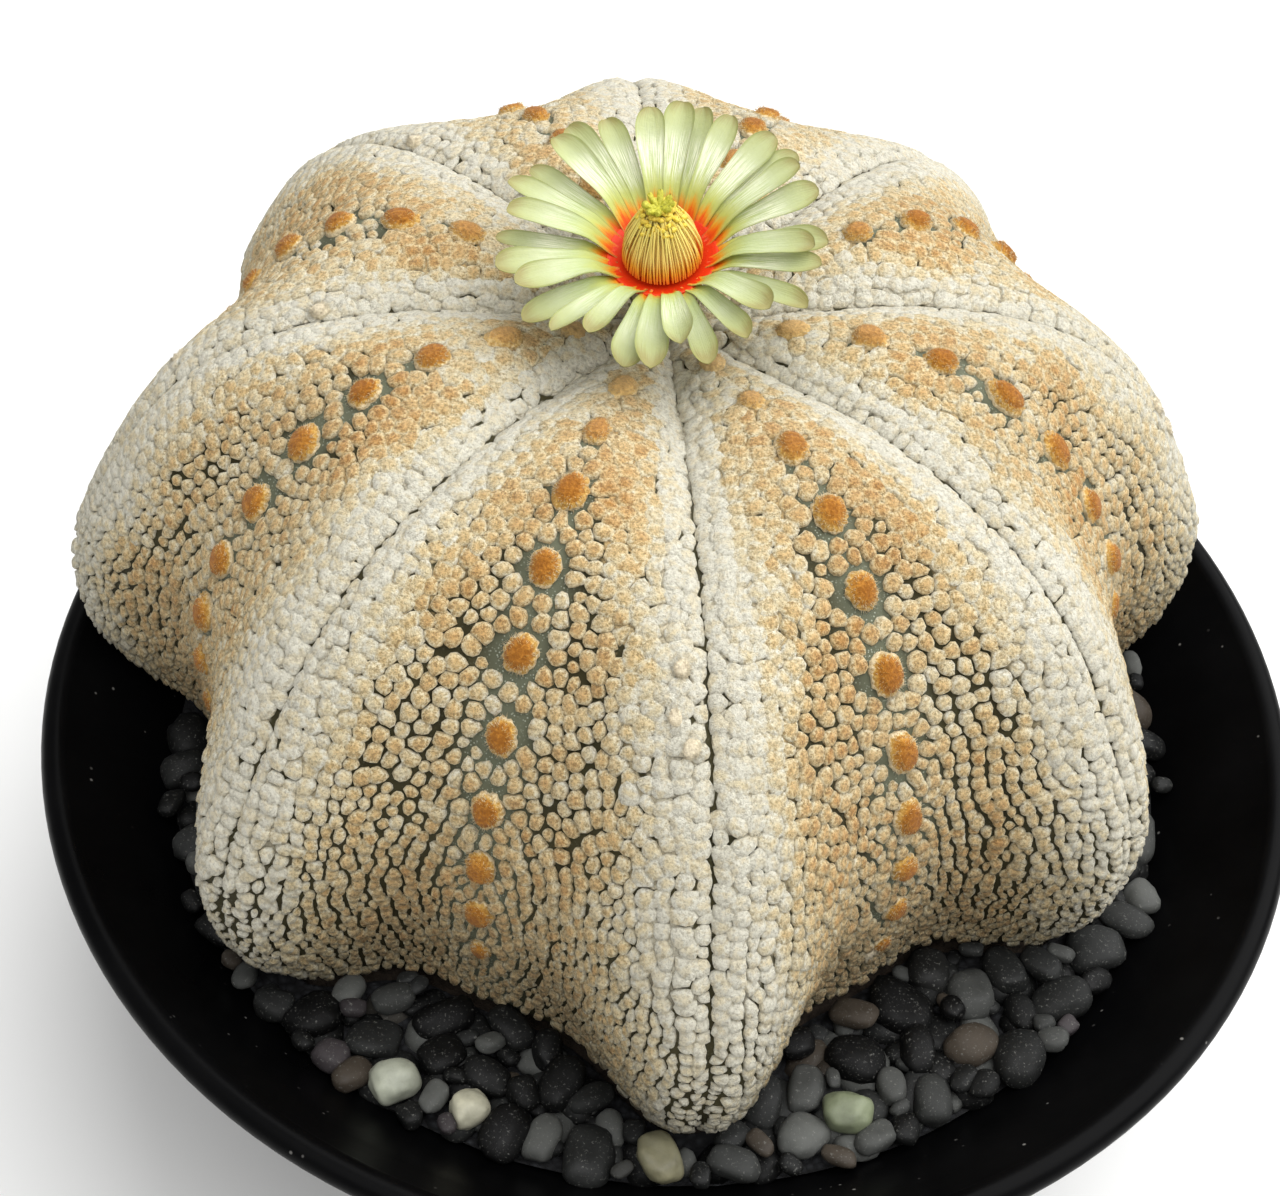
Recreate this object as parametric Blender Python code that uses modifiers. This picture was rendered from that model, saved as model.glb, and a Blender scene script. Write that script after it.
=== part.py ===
"""Potted star cactus: an eight-armed, felt-covered star cactus in flower, in a wide black bowl.

Metres, +Z up. The origin is the middle of the bowl's flat underside. The front arm points to -Y.
"""
import math
import random

import bmesh
import bpy
from mathutils import Euler, Matrix, Vector, geometry

MM = 0.001
SEED = 8
COLLECTION = "potted_star_cactus"
GAP = 0.4 * MM

# Bowl: flared inside wall, even thickness, rolled lip
BOWL_HEIGHT = 60 * MM
BOWL_FLOOR = 5 * MM
FLOOR_RADIUS = 38 * MM
FLOOR_EDGE = 2 * MM
LIP_INNER_RADIUS = 81.6 * MM
LIP_CENTRE = (83 * MM, 58 * MM)
LIP_BEAD = 2 * MM
WALL = 3.4 * MM
FLARE = 1.25
FOOT_ROUND = 2.5 * MM
WALL_HEIGHTS = tuple(h * MM for h in (7, 20, 34, 46, 50, 56.5))
TURN_STEPS = 40
DRAIN_HOLES = 4
DRAIN_RADIUS = 4 * MM
DRAIN_CIRCLE = 20 * MM
DRILL_SIDES = 16

# Fill: potting soil, and the pebble bed on it
SOIL_TOP = 45.6 * MM
SOIL_EDGE = 3 * MM
SOIL_FLOOR_GAP = 0.3 * MM
ROOT_HOLE_SIDES = 32
BED_BOTTOM = 46 * MM
BED_LEVEL = 49 * MM
BED_EDGE = 47.6 * MM
EDGE_LIFTS = (0.2 * MM, 1.2 * MM)
PEBBLE_PITCH = 5.9 * MM
PEBBLE_MARGIN = 2.36 * MM
PEBBLE_THROWS = 6000
PEBBLE_LIFTS = (0.8 * MM, 2.2 * MM)
PEBBLE_SHOULDER = 0.58
PEBBLE_CREVICE = -2.2 * MM
BED_TO_PLANT = 0.9 * MM
# Pale pebbles: place, half sizes and colour
PALE_PEBBLES = {
    "pebble_white": ((-31 * MM, -59 * MM), (3.2 * MM, 2.7 * MM, 2.4 * MM), (0.72, 0.73, 0.68)),
    "pebble_cream": ((-21.5 * MM, -62 * MM), (2.4 * MM, 2.3 * MM, 2.2 * MM), (0.75, 0.7, 0.55)),
    "pebble_green": ((25 * MM, -58.5 * MM), (3.1 * MM, 2.6 * MM, 2.3 * MM), (0.35, 0.42, 0.28)),
    "pebble_olive": ((2 * MM, -66.5 * MM), (3.3 * MM, 2.6 * MM, 2.3 * MM), (0.42, 0.4, 0.3)),
}
POCKET_FLOOR = 47.4 * MM
POCKET_GAP = 0.3 * MM

# Plant: eight arms round an upright axis, which stands behind the bowl's middle.
# The outlines are radius and height above the bowl's rim, from the crown down to the pebbles.
PLANT_AXIS = (-4.8 * MM, 15.7 * MM)
ARMS = 8
FRONT_ARM_TURN = math.radians(7.2)
ARM_OUTLINE = ((0, 50.5), (17, 53), (33.5, 54), (51, 50.5), (64.5, 41.5),
               (74, 28), (80.5, 14), (80, 0), (74, -11))
GROOVE_OUTLINE = ((0, 50.5), (14.5, 54), (29.5, 56.5), (43.5, 53), (55, 43),
                  (62.5, 30.5), (65, 17.5), (64.5, 4), (62, -11))
# Arms are round above and narrow to a keel from this place down
ARM_SHARPNESS = 3
KEEL_START = 0.68
KEEL_SHARPNESS = 5.5
# Reach and turn of each arm, the front arm first and then on to the right
ARM_REACH = (1.055, 0.98, 0.945, 0.92, 0.965, 0.99, 0.96, 0.995)
ARM_TURN = tuple(math.radians(a) for a in (0.5, 0, -1, -1, 0, -2, 1.5, 1.5))
# Away from its axis, the plant keeps inside a cone that clears the bowl's inside wall and lip
CLEAR_FROM = 20 * MM
CLEAR_RADIUS = 63 * MM
CLEAR_SLOPE = 1.5
CLEAR_SOFTNESS = 1.5 * MM

# Felt flecks, seam grooves and areoles, larger than life, as relief
FLECK_PITCH = 5.8 * MM
FLECK_LIFT = 0.75 * MM
FISSURE_DEPTH = 0.45 * MM
SEAM_DEPTH = 2 * MM
SEAM_WIDTH = 2.2 * MM
FLECK_JITTER = 0.16
FIRST_ROW = 0.085
LAST_ROW = 0.965
MERIDIAN_LENGTH = 120 * MM
AREOLE_STARTS = (0.105, 0.142, 0.153, 0.153, 0.11, 0.147, 0.112, 0.153)
AREOLE_STEP = 0.079
AREOLE_END = 0.93
AREOLE_RADIUS = 2.4 * MM
AREOLE_LIFT = 2.4 * MM
AREOLE_RIM_LIFT = 1.6 * MM
AREOLE_BARE = 5 * MM
BARE_RING_DEPTH = 0.7 * MM
CROWN_SEAT = 0.045
FOOTPRINT_STEPS = 64

# Underground part of the plant
TUCK = 0.88
ROOT_TOP_RADIUS = 16 * MM
ROOT_END_RADIUS = 5 * MM
ROOT_END = 20 * MM
ROOT_TIP = 17.5 * MM

# Flower, in its own frame: z = 0 is the crown it stands on
FLOWER_LEAN = Euler((math.radians(8.5), math.radians(-5), 0))
FLOWER_LIFT = 1 * MM
TUBE_OUTLINE = ((3.3, 0), (3.9, 1.2), (3.7, 3.5), (4.1, 5.6), (4.9, 7.6), (5.3, 9), (5.1, 10))
TUBE_SIDES = 16
TUBE_SCALE_LIFT = 0.45
THROAT_OUTLINE = ((4.6, 10.3), (3.4, 10.3), (5.7, 12.7), (6.6, 12.9), (6.7, 11.9))
THROAT_SIDES = 20
# Petal layers: number, first azimuth in degrees, lift of the layer, length from the throat, rise
PETAL_LAYERS = ((10, 4, -0.6, 14.9, 8), (10, 16, 0.2, 14.4, 10), (10, 28, 1.1, 13.3, 13))
PETAL_BACK_RISE = 3.5
PETAL_ROOT = (5.4, 12.0)
PETAL_STATIONS = ((0, 1.8), (0.45, 3.2), (0.82, 4.0), (1, 1.5))
PETAL_STRETCH = (0.95, 1.04)
PETAL_DROOP = (0.1, 0.8)
PETAL_YAW = (-3, 3)
PETAL_THICKNESS = 0.65
PETAL_CHANNEL = 0.45
STAMEN_OUTLINE = ((1.1, 10.3), (1.1, 18.2), (2.2, 18.0), (3.1, 16.6), (3.9, 14.6), (5.1, 12.9), (3, 10.3))
STAMEN_SIDES = 12
FILAMENTS = 16
FILAMENT_FOOT = (4.75, 13.3)
FILAMENT_HEAD = (3.35, 16.9)
FILAMENT_RADIUS = 0.32 * MM
ANTHER_RINGS = ((16, 3.3, 16.9), (9, 2.2, 18.1))
ANTHER_RADIUS = 0.62 * MM
STYLE_RADIUS = 0.7
STYLE_FOOT = 10.3
STYLE_TOP = 19
STYLE_SIDES = 8
STIGMA_LOBES = 7
LOBE_FOOT = (0.2, 18.5)
LOBE_HEAD = (1.9, 20.3)
LOBE_RADIUS = 0.42 * MM


def clear_scene():
    for obj in list(bpy.data.objects):
        bpy.data.objects.remove(obj, do_unlink=True)


def new_collection(name):
    collection = bpy.data.collections.new(name)
    bpy.context.scene.collection.children.link(collection)
    return collection


def material(name, colour, roughness, metallic=0.0):
    mat = bpy.data.materials.new(name)
    mat.use_nodes = True
    shader = mat.node_tree.nodes["Principled BSDF"]
    shader.inputs["Base Color"].default_value = (*colour, 1)
    shader.inputs["Roughness"].default_value = roughness
    shader.inputs["Metallic"].default_value = metallic
    return mat


def mesh_object(name, bm, collection, mat=None, smooth=None):
    mesh = bpy.data.meshes.new(name)
    bm.to_mesh(mesh)
    bm.free()
    obj = bpy.data.objects.new(name, mesh)
    collection.objects.link(obj)
    if mat:
        mesh.materials.append(mat)
    if smooth is not None:
        mesh.shade_smooth()
        mesh.set_sharp_from_angle(angle=math.radians(smooth))
    return obj


def turned(name, profile, steps, collection, mat=None, closed=False):
    """Turns an open or closed (radius, height) profile round Z with a Screw modifier."""
    bm = bmesh.new()
    points = [bm.verts.new((r, 0, z)) for r, z in profile]
    for a, b in zip(points, points[1:]):
        bm.edges.new((a, b))
    if closed:
        bm.edges.new((points[-1], points[0]))
    obj = mesh_object(name, bm, collection, mat)
    screw = obj.modifiers.new("turn", "SCREW")
    screw.steps = steps
    screw.render_steps = steps
    screw.use_merge_vertices = True
    screw.merge_threshold = 0.00001
    screw.use_smooth_shade = True
    return obj


def apply_modifiers(obj):
    """Replaces the object's mesh by its evaluated one."""
    depsgraph = bpy.context.evaluated_depsgraph_get()
    mesh = bpy.data.meshes.new_from_object(obj.evaluated_get(depsgraph))
    obj.modifiers.clear()
    obj.data = mesh


def boolean(obj, operation, operand, solver="EXACT"):
    """Adds a Boolean modifier; the operand is an object or a collection."""
    modifier = obj.modifiers.new(operation.lower(), "BOOLEAN")
    modifier.operation = operation
    modifier.solver = solver
    if isinstance(operand, bpy.types.Collection):
        modifier.operand_type = "COLLECTION"
        modifier.collection = operand
    else:
        modifier.object = operand
    return modifier


def join_repeats(obj, repeats):
    """Unites an object with all the objects of a collection, then drops the collection."""
    boolean(obj, "UNION", repeats, "MANIFOLD")
    apply_modifiers(obj)
    for repeat in list(repeats.objects):
        bpy.data.objects.remove(repeat, do_unlink=True)
    bpy.data.collections.remove(repeats)


def hide_cutter(cutter):
    cutter.hide_render = True
    cutter.display_type = "WIRE"


def smooth_point(points, t):
    """Catmull-Rom curve through the points for t from 0 to 1, mirrored across its first point."""
    spans = len(points) - 1
    i = min(int(t * spans), spans - 1)
    f = t * spans - i
    before = Vector((-points[1][0], points[1][1])) if i == 0 else Vector(points[i - 1])
    a, b = Vector(points[i]), Vector(points[i + 1])
    after = Vector(points[i + 2]) if i + 2 <= spans else b * 2 - a
    pull = (b - before) * f + (2 * before - 5 * a + 4 * b - after) * f ** 2
    return a + (pull + (3 * a - before - 3 * b + after) * f ** 3) / 2


# Bowl and fill

def inner_wall(z):
    """Radius of the bowl's inside wall at height z."""
    t = (z - BOWL_FLOOR) / (BOWL_HEIGHT - BOWL_FLOOR)
    return FLOOR_RADIUS + (LIP_INNER_RADIUS - FLOOR_RADIUS) * max(t, 0) ** FLARE


def outer_wall(z):
    """Point of the outside wall, one wall thickness out from the inside wall at height z."""
    step = 0.1 * MM
    slope = (inner_wall(z + step) - inner_wall(z - step)) / (2 * step)
    scale = WALL / math.hypot(1, slope)
    return (inner_wall(z) + scale, z - slope * scale)


def bowl(parts, cutters):
    inside = [(0, BOWL_FLOOR), (FLOOR_RADIUS - FLOOR_EDGE, BOWL_FLOOR)]
    inside += [(inner_wall(z), z) for z in WALL_HEIGHTS]
    lip = []
    for degrees in (140, 90, 40, -20):
        a = math.radians(degrees)
        lip.append((LIP_CENTRE[0] + LIP_BEAD * math.cos(a), LIP_CENTRE[1] + LIP_BEAD * math.sin(a)))
    outside = [outer_wall(z) for z in reversed(WALL_HEIGHTS[:-1])]
    foot_radius = outside[-1][0] - FOOT_ROUND
    foot = []
    for degrees in (-10, -90):
        a = math.radians(degrees)
        foot.append((foot_radius + FOOT_ROUND * math.cos(a), FOOT_ROUND * (1 + math.sin(a))))
    glaze = material("black_satin_glaze", (0.012, 0.012, 0.013), 0.35)
    pot = turned("pot", inside + lip + outside + foot + [(0, 0)], TURN_STEPS, parts, glaze)
    for i in range(DRAIN_HOLES):
        a = 2 * math.pi * (i + 0.5) / DRAIN_HOLES
        drill = bmesh.new()
        bmesh.ops.create_cone(drill, cap_ends=True, segments=DRILL_SIDES, radius1=DRAIN_RADIUS,
                              radius2=DRAIN_RADIUS, depth=3 * BOWL_FLOOR)
        cutter = mesh_object(f"drain_drill_{i + 1}", drill, cutters)
        cutter.location = (DRAIN_CIRCLE * math.cos(a), DRAIN_CIRCLE * math.sin(a), 0)
        hide_cutter(cutter)
        boolean(pot, "DIFFERENCE", cutter)


def soil(parts, cutters):
    """Potting soil up to the pebbles, with a plain hole for the plant's root."""
    heights = [SOIL_TOP] + [z for z in reversed(WALL_HEIGHTS) if z < SOIL_TOP]
    side = [(inner_wall(z) - GAP, z) for z in heights]
    floor = BOWL_FLOOR + SOIL_FLOOR_GAP
    profile = [(0, SOIL_TOP)] + side + [(FLOOR_RADIUS - SOIL_EDGE, floor), (0, floor)]
    earth = turned("soil", profile, TURN_STEPS, parts, material("potting_soil", (0.05, 0.036, 0.025), 0.95))
    hole = bmesh.new()
    top, bottom = SOIL_TOP + 1 * MM, ROOT_TIP - 1 * MM
    slope = (ROOT_TOP_RADIUS - ROOT_END_RADIUS) / (BED_BOTTOM - ROOT_END)
    upper = ROOT_TOP_RADIUS + 2 * GAP + slope * (top - BED_BOTTOM)
    lower = ROOT_END_RADIUS + 2 * GAP
    bmesh.ops.create_cone(hole, cap_ends=True, segments=ROOT_HOLE_SIDES, radius1=lower,
                          radius2=upper, depth=top - bottom)
    cutter = mesh_object("root_hole", hole, cutters)
    cutter.location = (PLANT_AXIS[0], PLANT_AXIS[1], (top + bottom) / 2)
    hide_cutter(cutter)
    boolean(earth, "DIFFERENCE", cutter)


def inside_polygon(point, polygon):
    inside = False
    for a, b in zip(polygon, polygon[1:] + polygon[:1]):
        if (a.y > point.y) != (b.y > point.y):
            if point.x < a.x + (point.y - a.y) / (b.y - a.y) * (b.x - a.x):
                inside = not inside
    return inside


def loop_edges(first, count):
    return [(first + i, first + (i + 1) % count) for i in range(count)]


def triangulate(plan, edges=(), hole=None):
    """Triangles between the plan's points, counter-clockwise, as index triples."""
    result = geometry.delaunay_2d_cdt([Vector(p) for p in plan], list(edges), [], 0, 1e-9)
    points, faces, origins = result[0], result[2], result[3]
    triangles = []
    for face in faces:
        middle = sum((points[i] for i in face), Vector((0, 0))) / 3
        if hole and inside_polygon(middle, hole):
            continue
        a, b, c = (points[i] for i in face)
        order = face if (b - a).cross(c - a) > 0 else face[::-1]
        triangles.append(tuple(origins[i][0] for i in order))
    return triangles


def relief(plan, triangles, groups, shoulder=None):
    """Turns a triangulated plan into raised cells, one round each point, with low borders.

    A triangle whose corners share a group stays plain. With a shoulder, each cell of a point
    in the shoulder's set gets an inner ring at that share of the way to its border. Returns the
    plan's points with the new ones, the kind of each new one, and the faces.
    """
    points = [Vector(p) for p in plan]
    kinds = ["peak"] * len(points)
    faces = []
    border = {}
    sides = {}
    for n, tri in enumerate(triangles):
        if groups[tri[0]] and groups[tri[0]] == groups[tri[1]] == groups[tri[2]]:
            faces.append(tri)
        else:
            border[n] = len(points)
            points.append(sum((points[i] for i in tri), Vector((0, 0))) / 3)
            kinds.append("border")
        for a, b in zip(tri, tri[1:] + tri[:1]):
            sides[a, b] = n
    ledge = {}

    def shoulder_point(peak, n):
        if (peak, n) not in ledge:
            ledge[peak, n] = len(points)
            points.append(points[peak].lerp(points[border[n]], shoulder[1]))
            kinds.append(("shoulder", peak))
        return ledge[peak, n]

    for (a, b), left in sides.items():
        right = sides.get((b, a))
        if left not in border:
            continue
        if right is None or right not in border:
            faces.append((a, b, border[left]))
        elif shoulder and a in shoulder[0]:
            inner_right, inner_left = shoulder_point(a, right), shoulder_point(a, left)
            faces.append((a, inner_right, inner_left))
            faces.append((inner_right, border[right], border[left], inner_left))
        else:
            faces.append((a, border[right], border[left]))
    return points, kinds, faces


def scatter(rng, reach, allowed, taken):
    """Places of the stones, at least a pitch apart, from seeded random throws."""
    points = list(taken)
    for _ in range(PEBBLE_THROWS):
        point = Vector((rng.uniform(-reach, reach), rng.uniform(-reach, reach)))
        if all((point - other).length > PEBBLE_PITCH for other in points) and allowed(point):
            points.append(point)
    return points


def pebble_bed(parts):
    """The bed of dark pebbles round the plant: a ring of stones that lie fused side by side."""
    rng = random.Random(SEED)
    inner = [bed_inner_point(i) for i in range(FOOTPRINT_STEPS)]
    outer_radius = inner_wall(BED_EDGE) - GAP
    outer = [Vector((math.cos(a), math.sin(a))) * outer_radius
             for a in (2 * math.pi * i / TURN_STEPS for i in range(TURN_STEPS))]

    def clearance(point):
        return min((point - corner).length for corner in inner)

    def allowed(point):
        clear = clearance(point) > PEBBLE_MARGIN and not inside_polygon(point, inner)
        return clear and point.length < outer_radius - PEBBLE_MARGIN

    pale = [Vector(place) for place, _, _ in PALE_PEBBLES.values()]
    stones = scatter(rng, outer_radius, allowed, pale)
    plan = inner + outer + stones
    first = len(inner) + len(outer)
    edges = loop_edges(0, len(inner)) + loop_edges(len(inner), len(outer))
    triangles = triangulate(plan, edges, inner)
    cells = set(range(first, len(plan)))
    points, kinds, faces = relief(plan, triangles, [None] * len(plan), (cells, PEBBLE_SHOULDER))
    lifts = {}
    for i, stone in enumerate(stones, first):
        lifts[i] = rng.uniform(*PEBBLE_LIFTS) * min(1, clearance(stone) / PEBBLE_PITCH)
    pockets = set(range(first, first + len(pale)))

    bm = bmesh.new()
    verts = []
    for i, (point, kind) in enumerate(zip(points, kinds)):
        peak = i if kind == "peak" else kind[1] if kind[0] == "shoulder" else None
        if i < first:
            z = BED_EDGE + rng.uniform(*EDGE_LIFTS)
        elif peak in pockets:
            z = POCKET_FLOOR
        elif kind == "peak":
            z = BED_LEVEL + lifts[i]
        elif kind == "border":
            z = BED_LEVEL + PEBBLE_CREVICE
        else:
            z = BED_LEVEL + 0.5 * lifts[peak]
        verts.append(bm.verts.new((point.x, point.y, z)))
    for face in faces:
        bm.faces.new([verts[i] for i in face])
    under_scale = (inner_wall(BED_BOTTOM) - GAP) / outer_radius
    under = [bm.verts.new((p.x, p.y, BED_BOTTOM)) for p in inner]
    under += [bm.verts.new((p.x * under_scale, p.y * under_scale, BED_BOTTOM)) for p in outer]
    under_plan = [v.co.xy for v in under]
    for tri in triangulate(under_plan, edges, under_plan[:len(inner)]):
        bm.faces.new([under[i] for i in reversed(tri)])
    for a, b in edges[:len(inner)]:
        bm.faces.new((verts[a], verts[b], under[b], under[a]))
    for a, b in edges[len(inner):]:
        bm.faces.new((verts[b], verts[a], under[a], under[b]))
    bmesh.ops.triangulate(bm, faces=[f for f in bm.faces if len(f.verts) > 3])
    mesh_object("gravel", bm, parts, material("slate_pebbles", (0.06, 0.065, 0.075), 0.6), 50)


def pale_pebbles(parts):
    for name, ((x, y), size, colour) in PALE_PEBBLES.items():
        bm = bmesh.new()
        bmesh.ops.create_uvsphere(bm, u_segments=8, v_segments=5, radius=1)
        turn = Matrix.Rotation(x / MM, 4, "Z")
        bmesh.ops.transform(bm, matrix=turn @ Matrix.Diagonal((*size, 1)), verts=bm.verts)
        obj = mesh_object(name, bm, parts, material(name, colour, 0.6), 60)
        obj.location = (x, y, POCKET_FLOOR + POCKET_GAP + size[2])


# Plant

def blend_arms(values, k):
    """Value at arm position k, eased from one arm to the next."""
    arm = math.floor(k)
    share = 0.5 - 0.5 * math.cos(math.pi * (k - arm))
    return values[arm % ARMS] * (1 - share) + values[(arm + 1) % ARMS] * share


def azimuth(k):
    """Angle from -Y towards +X of arm position k; whole numbers are arms, halves are grooves."""
    arm = math.floor(k)
    turn = ARM_TURN[arm % ARMS] * (arm + 1 - k) + ARM_TURN[(arm + 1) % ARMS] * (k - arm)
    return FRONT_ARM_TURN + k * 2 * math.pi / ARMS + turn


def skin(s, k):
    """Point of the plant's skin: s runs from the crown (0) to the pebbles (1), k round the arms."""
    arm = smooth_point(ARM_OUTLINE, s)
    groove = smooth_point(GROOVE_OUTLINE, s)
    keel = max(0, (s - KEEL_START) / (1 - KEEL_START))
    sharpness = ARM_SHARPNESS + (KEEL_SHARPNESS - ARM_SHARPNESS) * keel
    share = abs(math.cos(math.pi * (k - round(k)))) ** sharpness
    radius, height = groove.lerp(arm, share) * MM
    radius *= 1 + (blend_arms(ARM_REACH, k) - 1) * min(1.3 * s, 1)
    a = azimuth(k)
    x = PLANT_AXIS[0] + radius * math.sin(a)
    y = PLANT_AXIS[1] - radius * math.cos(a)
    z = BOWL_HEIGHT + height
    reach = math.hypot(x, y)
    limit = CLEAR_RADIUS + max(z - BED_LEVEL, 0) * CLEAR_SLOPE
    over = (reach - limit) / CLEAR_SOFTNESS
    pull = over if over > 30 else math.log1p(math.exp(over))
    scale = 1 - pull * CLEAR_SOFTNESS / max(reach, CLEAR_SOFTNESS)
    return Vector((x * scale, y * scale, z)) if reach > CLEAR_FROM else Vector((x, y, z))


def skin_normal(s, k):
    step = 0.004
    s = max(s, 2 * step)
    along = skin(min(s + step, 1), k) - skin(s - step, k)
    across = skin(s, k + step) - skin(s, k - step)
    return across.cross(along).normalized() * -1


def bed_inner_point(i):
    """Corner i of the pebble bed's inner edge, just outside the plant's footprint."""
    foot = skin(1, i * ARMS / FOOTPRINT_STEPS).xy
    axis = Vector(PLANT_AXIS)
    return foot + (foot - axis).normalized() * BED_TO_PLANT


def flat_place(s, k):
    """The skin spread flat round the crown, so that it can be triangulated."""
    a = k * 2 * math.pi / ARMS
    return Vector((s * math.sin(a), -s * math.cos(a)))


def skin_place(point):
    s = min(point.length, 1)
    return s, math.atan2(point.x, -point.y) * ARMS / (2 * math.pi)


def areole_places():
    """Places of the areoles, evenly down each groove."""
    places = []
    for groove, start in enumerate(AREOLE_STARTS):
        s = start
        while s < AREOLE_END:
            places.append((s, groove + 0.5))
            s += AREOLE_STEP
    return places


def fleck_places(rng, areoles):
    """Places of the felt flecks in rows round the crown, mirrored across each seam."""
    rows = round((LAST_ROW - FIRST_ROW) * MERIDIAN_LENGTH / (0.87 * FLECK_PITCH))
    bare = [skin(s, k) for s, k in areoles]
    flecks = []
    for row in range(rows + 1):
        s = FIRST_ROW + (LAST_ROW - FIRST_ROW) * row / rows
        for half in range(2 * ARMS):
            seam = (half + 1) // 2
            side = 1 if half % 2 == 0 else -1
            width = (skin(s, seam) - skin(s, seam + side / 2)).length
            count = max(1, round(width / FLECK_PITCH))
            for j in range(count):
                shift = 0.34 if row % 2 else 0.8
                u = (j + shift + rng.uniform(-1, 1) * FLECK_JITTER) / (count + 0.1)
                v = s + rng.uniform(-1, 1) * FLECK_JITTER / rows
                k = seam + side * u / 2
                point = skin(v, k)
                if all((point - centre).length > AREOLE_BARE for centre in bare):
                    flecks.append((v, k))
    return flecks


def fissure(s, k, place, bare):
    """Depth of the crack at a place: deepest along the seams, and in the bare ring of an areole."""
    if min((place - centre).length for centre in bare) < AREOLE_BARE:
        return BARE_RING_DEPTH
    away = (place - skin(s, round(k))).length / SEAM_WIDTH
    return FISSURE_DEPTH + (SEAM_DEPTH - FISSURE_DEPTH) * math.exp(-away ** 2)


def cactus_body(parts):
    """The whole plant below its flower, one grown piece: felted star, neck and tap root."""
    rng = random.Random(SEED)
    plan, lifts, groups = [], [], []

    def add(s, k, lift, group=None):
        plan.append(flat_place(s, k))
        lifts.append(lift)
        groups.append(group)

    for i in range(FOOTPRINT_STEPS):
        add(1, i * ARMS / FOOTPRINT_STEPS, 0)
    add(0, 0, 0, "crown")
    for i in range(ARMS):
        add(CROWN_SEAT, i, 0, "crown")
    areoles = areole_places()
    for number, (s, k) in enumerate(areoles):
        radius = (skin(s, k).xy - Vector(PLANT_AXIS)).length
        add(s, k, AREOLE_LIFT, number + 1)
        for corner in range(6):
            a = math.pi * corner / 3
            along = AREOLE_RADIUS * 1.15 * math.cos(a) / MERIDIAN_LENGTH
            across = AREOLE_RADIUS * math.sin(a) / radius * ARMS / (2 * math.pi)
            add(s + along, k + across, AREOLE_RIM_LIFT, number + 1)
    flecks = fleck_places(rng, areoles)
    for s, k in flecks:
        add(s, k, FLECK_LIFT * rng.uniform(0.8, 1.2))

    triangles = triangulate(plan, loop_edges(0, FOOTPRINT_STEPS))
    points, kinds, faces = relief(plan, triangles, groups)
    bare = [skin(s, k) for s, k in areoles]
    seat_height = skin(CROWN_SEAT, 0).z
    bm = bmesh.new()
    verts = []
    for i, point in enumerate(points):
        s, k = skin_place(point)
        place = skin(s, k)
        if i < len(groups) and groups[i] == "crown":
            place.z = seat_height
        elif i >= FOOTPRINT_STEPS:
            place += skin_normal(s, k) * (lifts[i] if i < len(lifts) else -fissure(s, k, place, bare))
        verts.append(bm.verts.new(place))
    for face in faces:
        bm.faces.new([verts[i] for i in face])

    ring = verts[:FOOTPRINT_STEPS]
    axis = Vector((*PLANT_AXIS, 0))
    for radius, z in ((None, BED_BOTTOM), (ROOT_TOP_RADIUS, BED_BOTTOM), (ROOT_END_RADIUS, ROOT_END)):
        below = []
        for vert in ring:
            arm = (vert.co - axis).xy
            out = arm * TUCK if radius is None else arm.normalized() * radius
            below.append(bm.verts.new((axis.x + out.x, axis.y + out.y, z)))
        for i in range(FOOTPRINT_STEPS):
            j = (i + 1) % FOOTPRINT_STEPS
            bm.faces.new((ring[j], ring[i], below[i], below[j]))
        ring = below
    tip = bm.verts.new((axis.x, axis.y, ROOT_TIP))
    for i in range(FOOTPRINT_STEPS):
        bm.faces.new((ring[(i + 1) % FOOTPRINT_STEPS], ring[i], tip))
    bmesh.ops.triangulate(bm, faces=[f for f in bm.faces if len(f.verts) > 3])
    bmesh.ops.recalc_face_normals(bm, faces=bm.faces)
    mesh_object("cactus_body", bm, parts, material("felted_skin", (0.62, 0.5, 0.34), 0.95), 25)


# Flower

def flower_frame():
    crown = Vector((*PLANT_AXIS, skin(CROWN_SEAT, 0).z + FLOWER_LIFT))
    return Matrix.Translation(crown) @ FLOWER_LEAN.to_matrix().to_4x4()


def scaled(outline):
    return [(r * MM, z * MM) for r, z in outline]


def flower_tube(parts):
    """The short stalk that holds the bloom, with woolly scales in alternating rows."""
    bm = bmesh.new()
    rings = []
    for level, (r, z) in enumerate(TUBE_OUTLINE):
        ring = []
        for i in range(TUBE_SIDES):
            bump = TUBE_SCALE_LIFT if (i + level) % 2 and 0 < level < len(TUBE_OUTLINE) - 1 else 0
            a = 2 * math.pi * i / TUBE_SIDES
            ring.append(bm.verts.new(((r + bump) * MM * math.cos(a), (r + bump) * MM * math.sin(a), z * MM)))
        rings.append(ring)
    for low, high in zip(rings, rings[1:]):
        for i in range(TUBE_SIDES):
            j = (i + 1) % TUBE_SIDES
            bm.faces.new((low[i], low[j], high[j], high[i]))
    bm.faces.new(list(reversed(rings[0])))
    bm.faces.new(rings[-1])
    bmesh.ops.triangulate(bm, faces=bm.faces[:])
    tube = mesh_object("flower_tube", bm, parts, material("woolly_scales", (0.36, 0.3, 0.16), 0.95), 40)
    tube.matrix_world = flower_frame()


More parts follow.
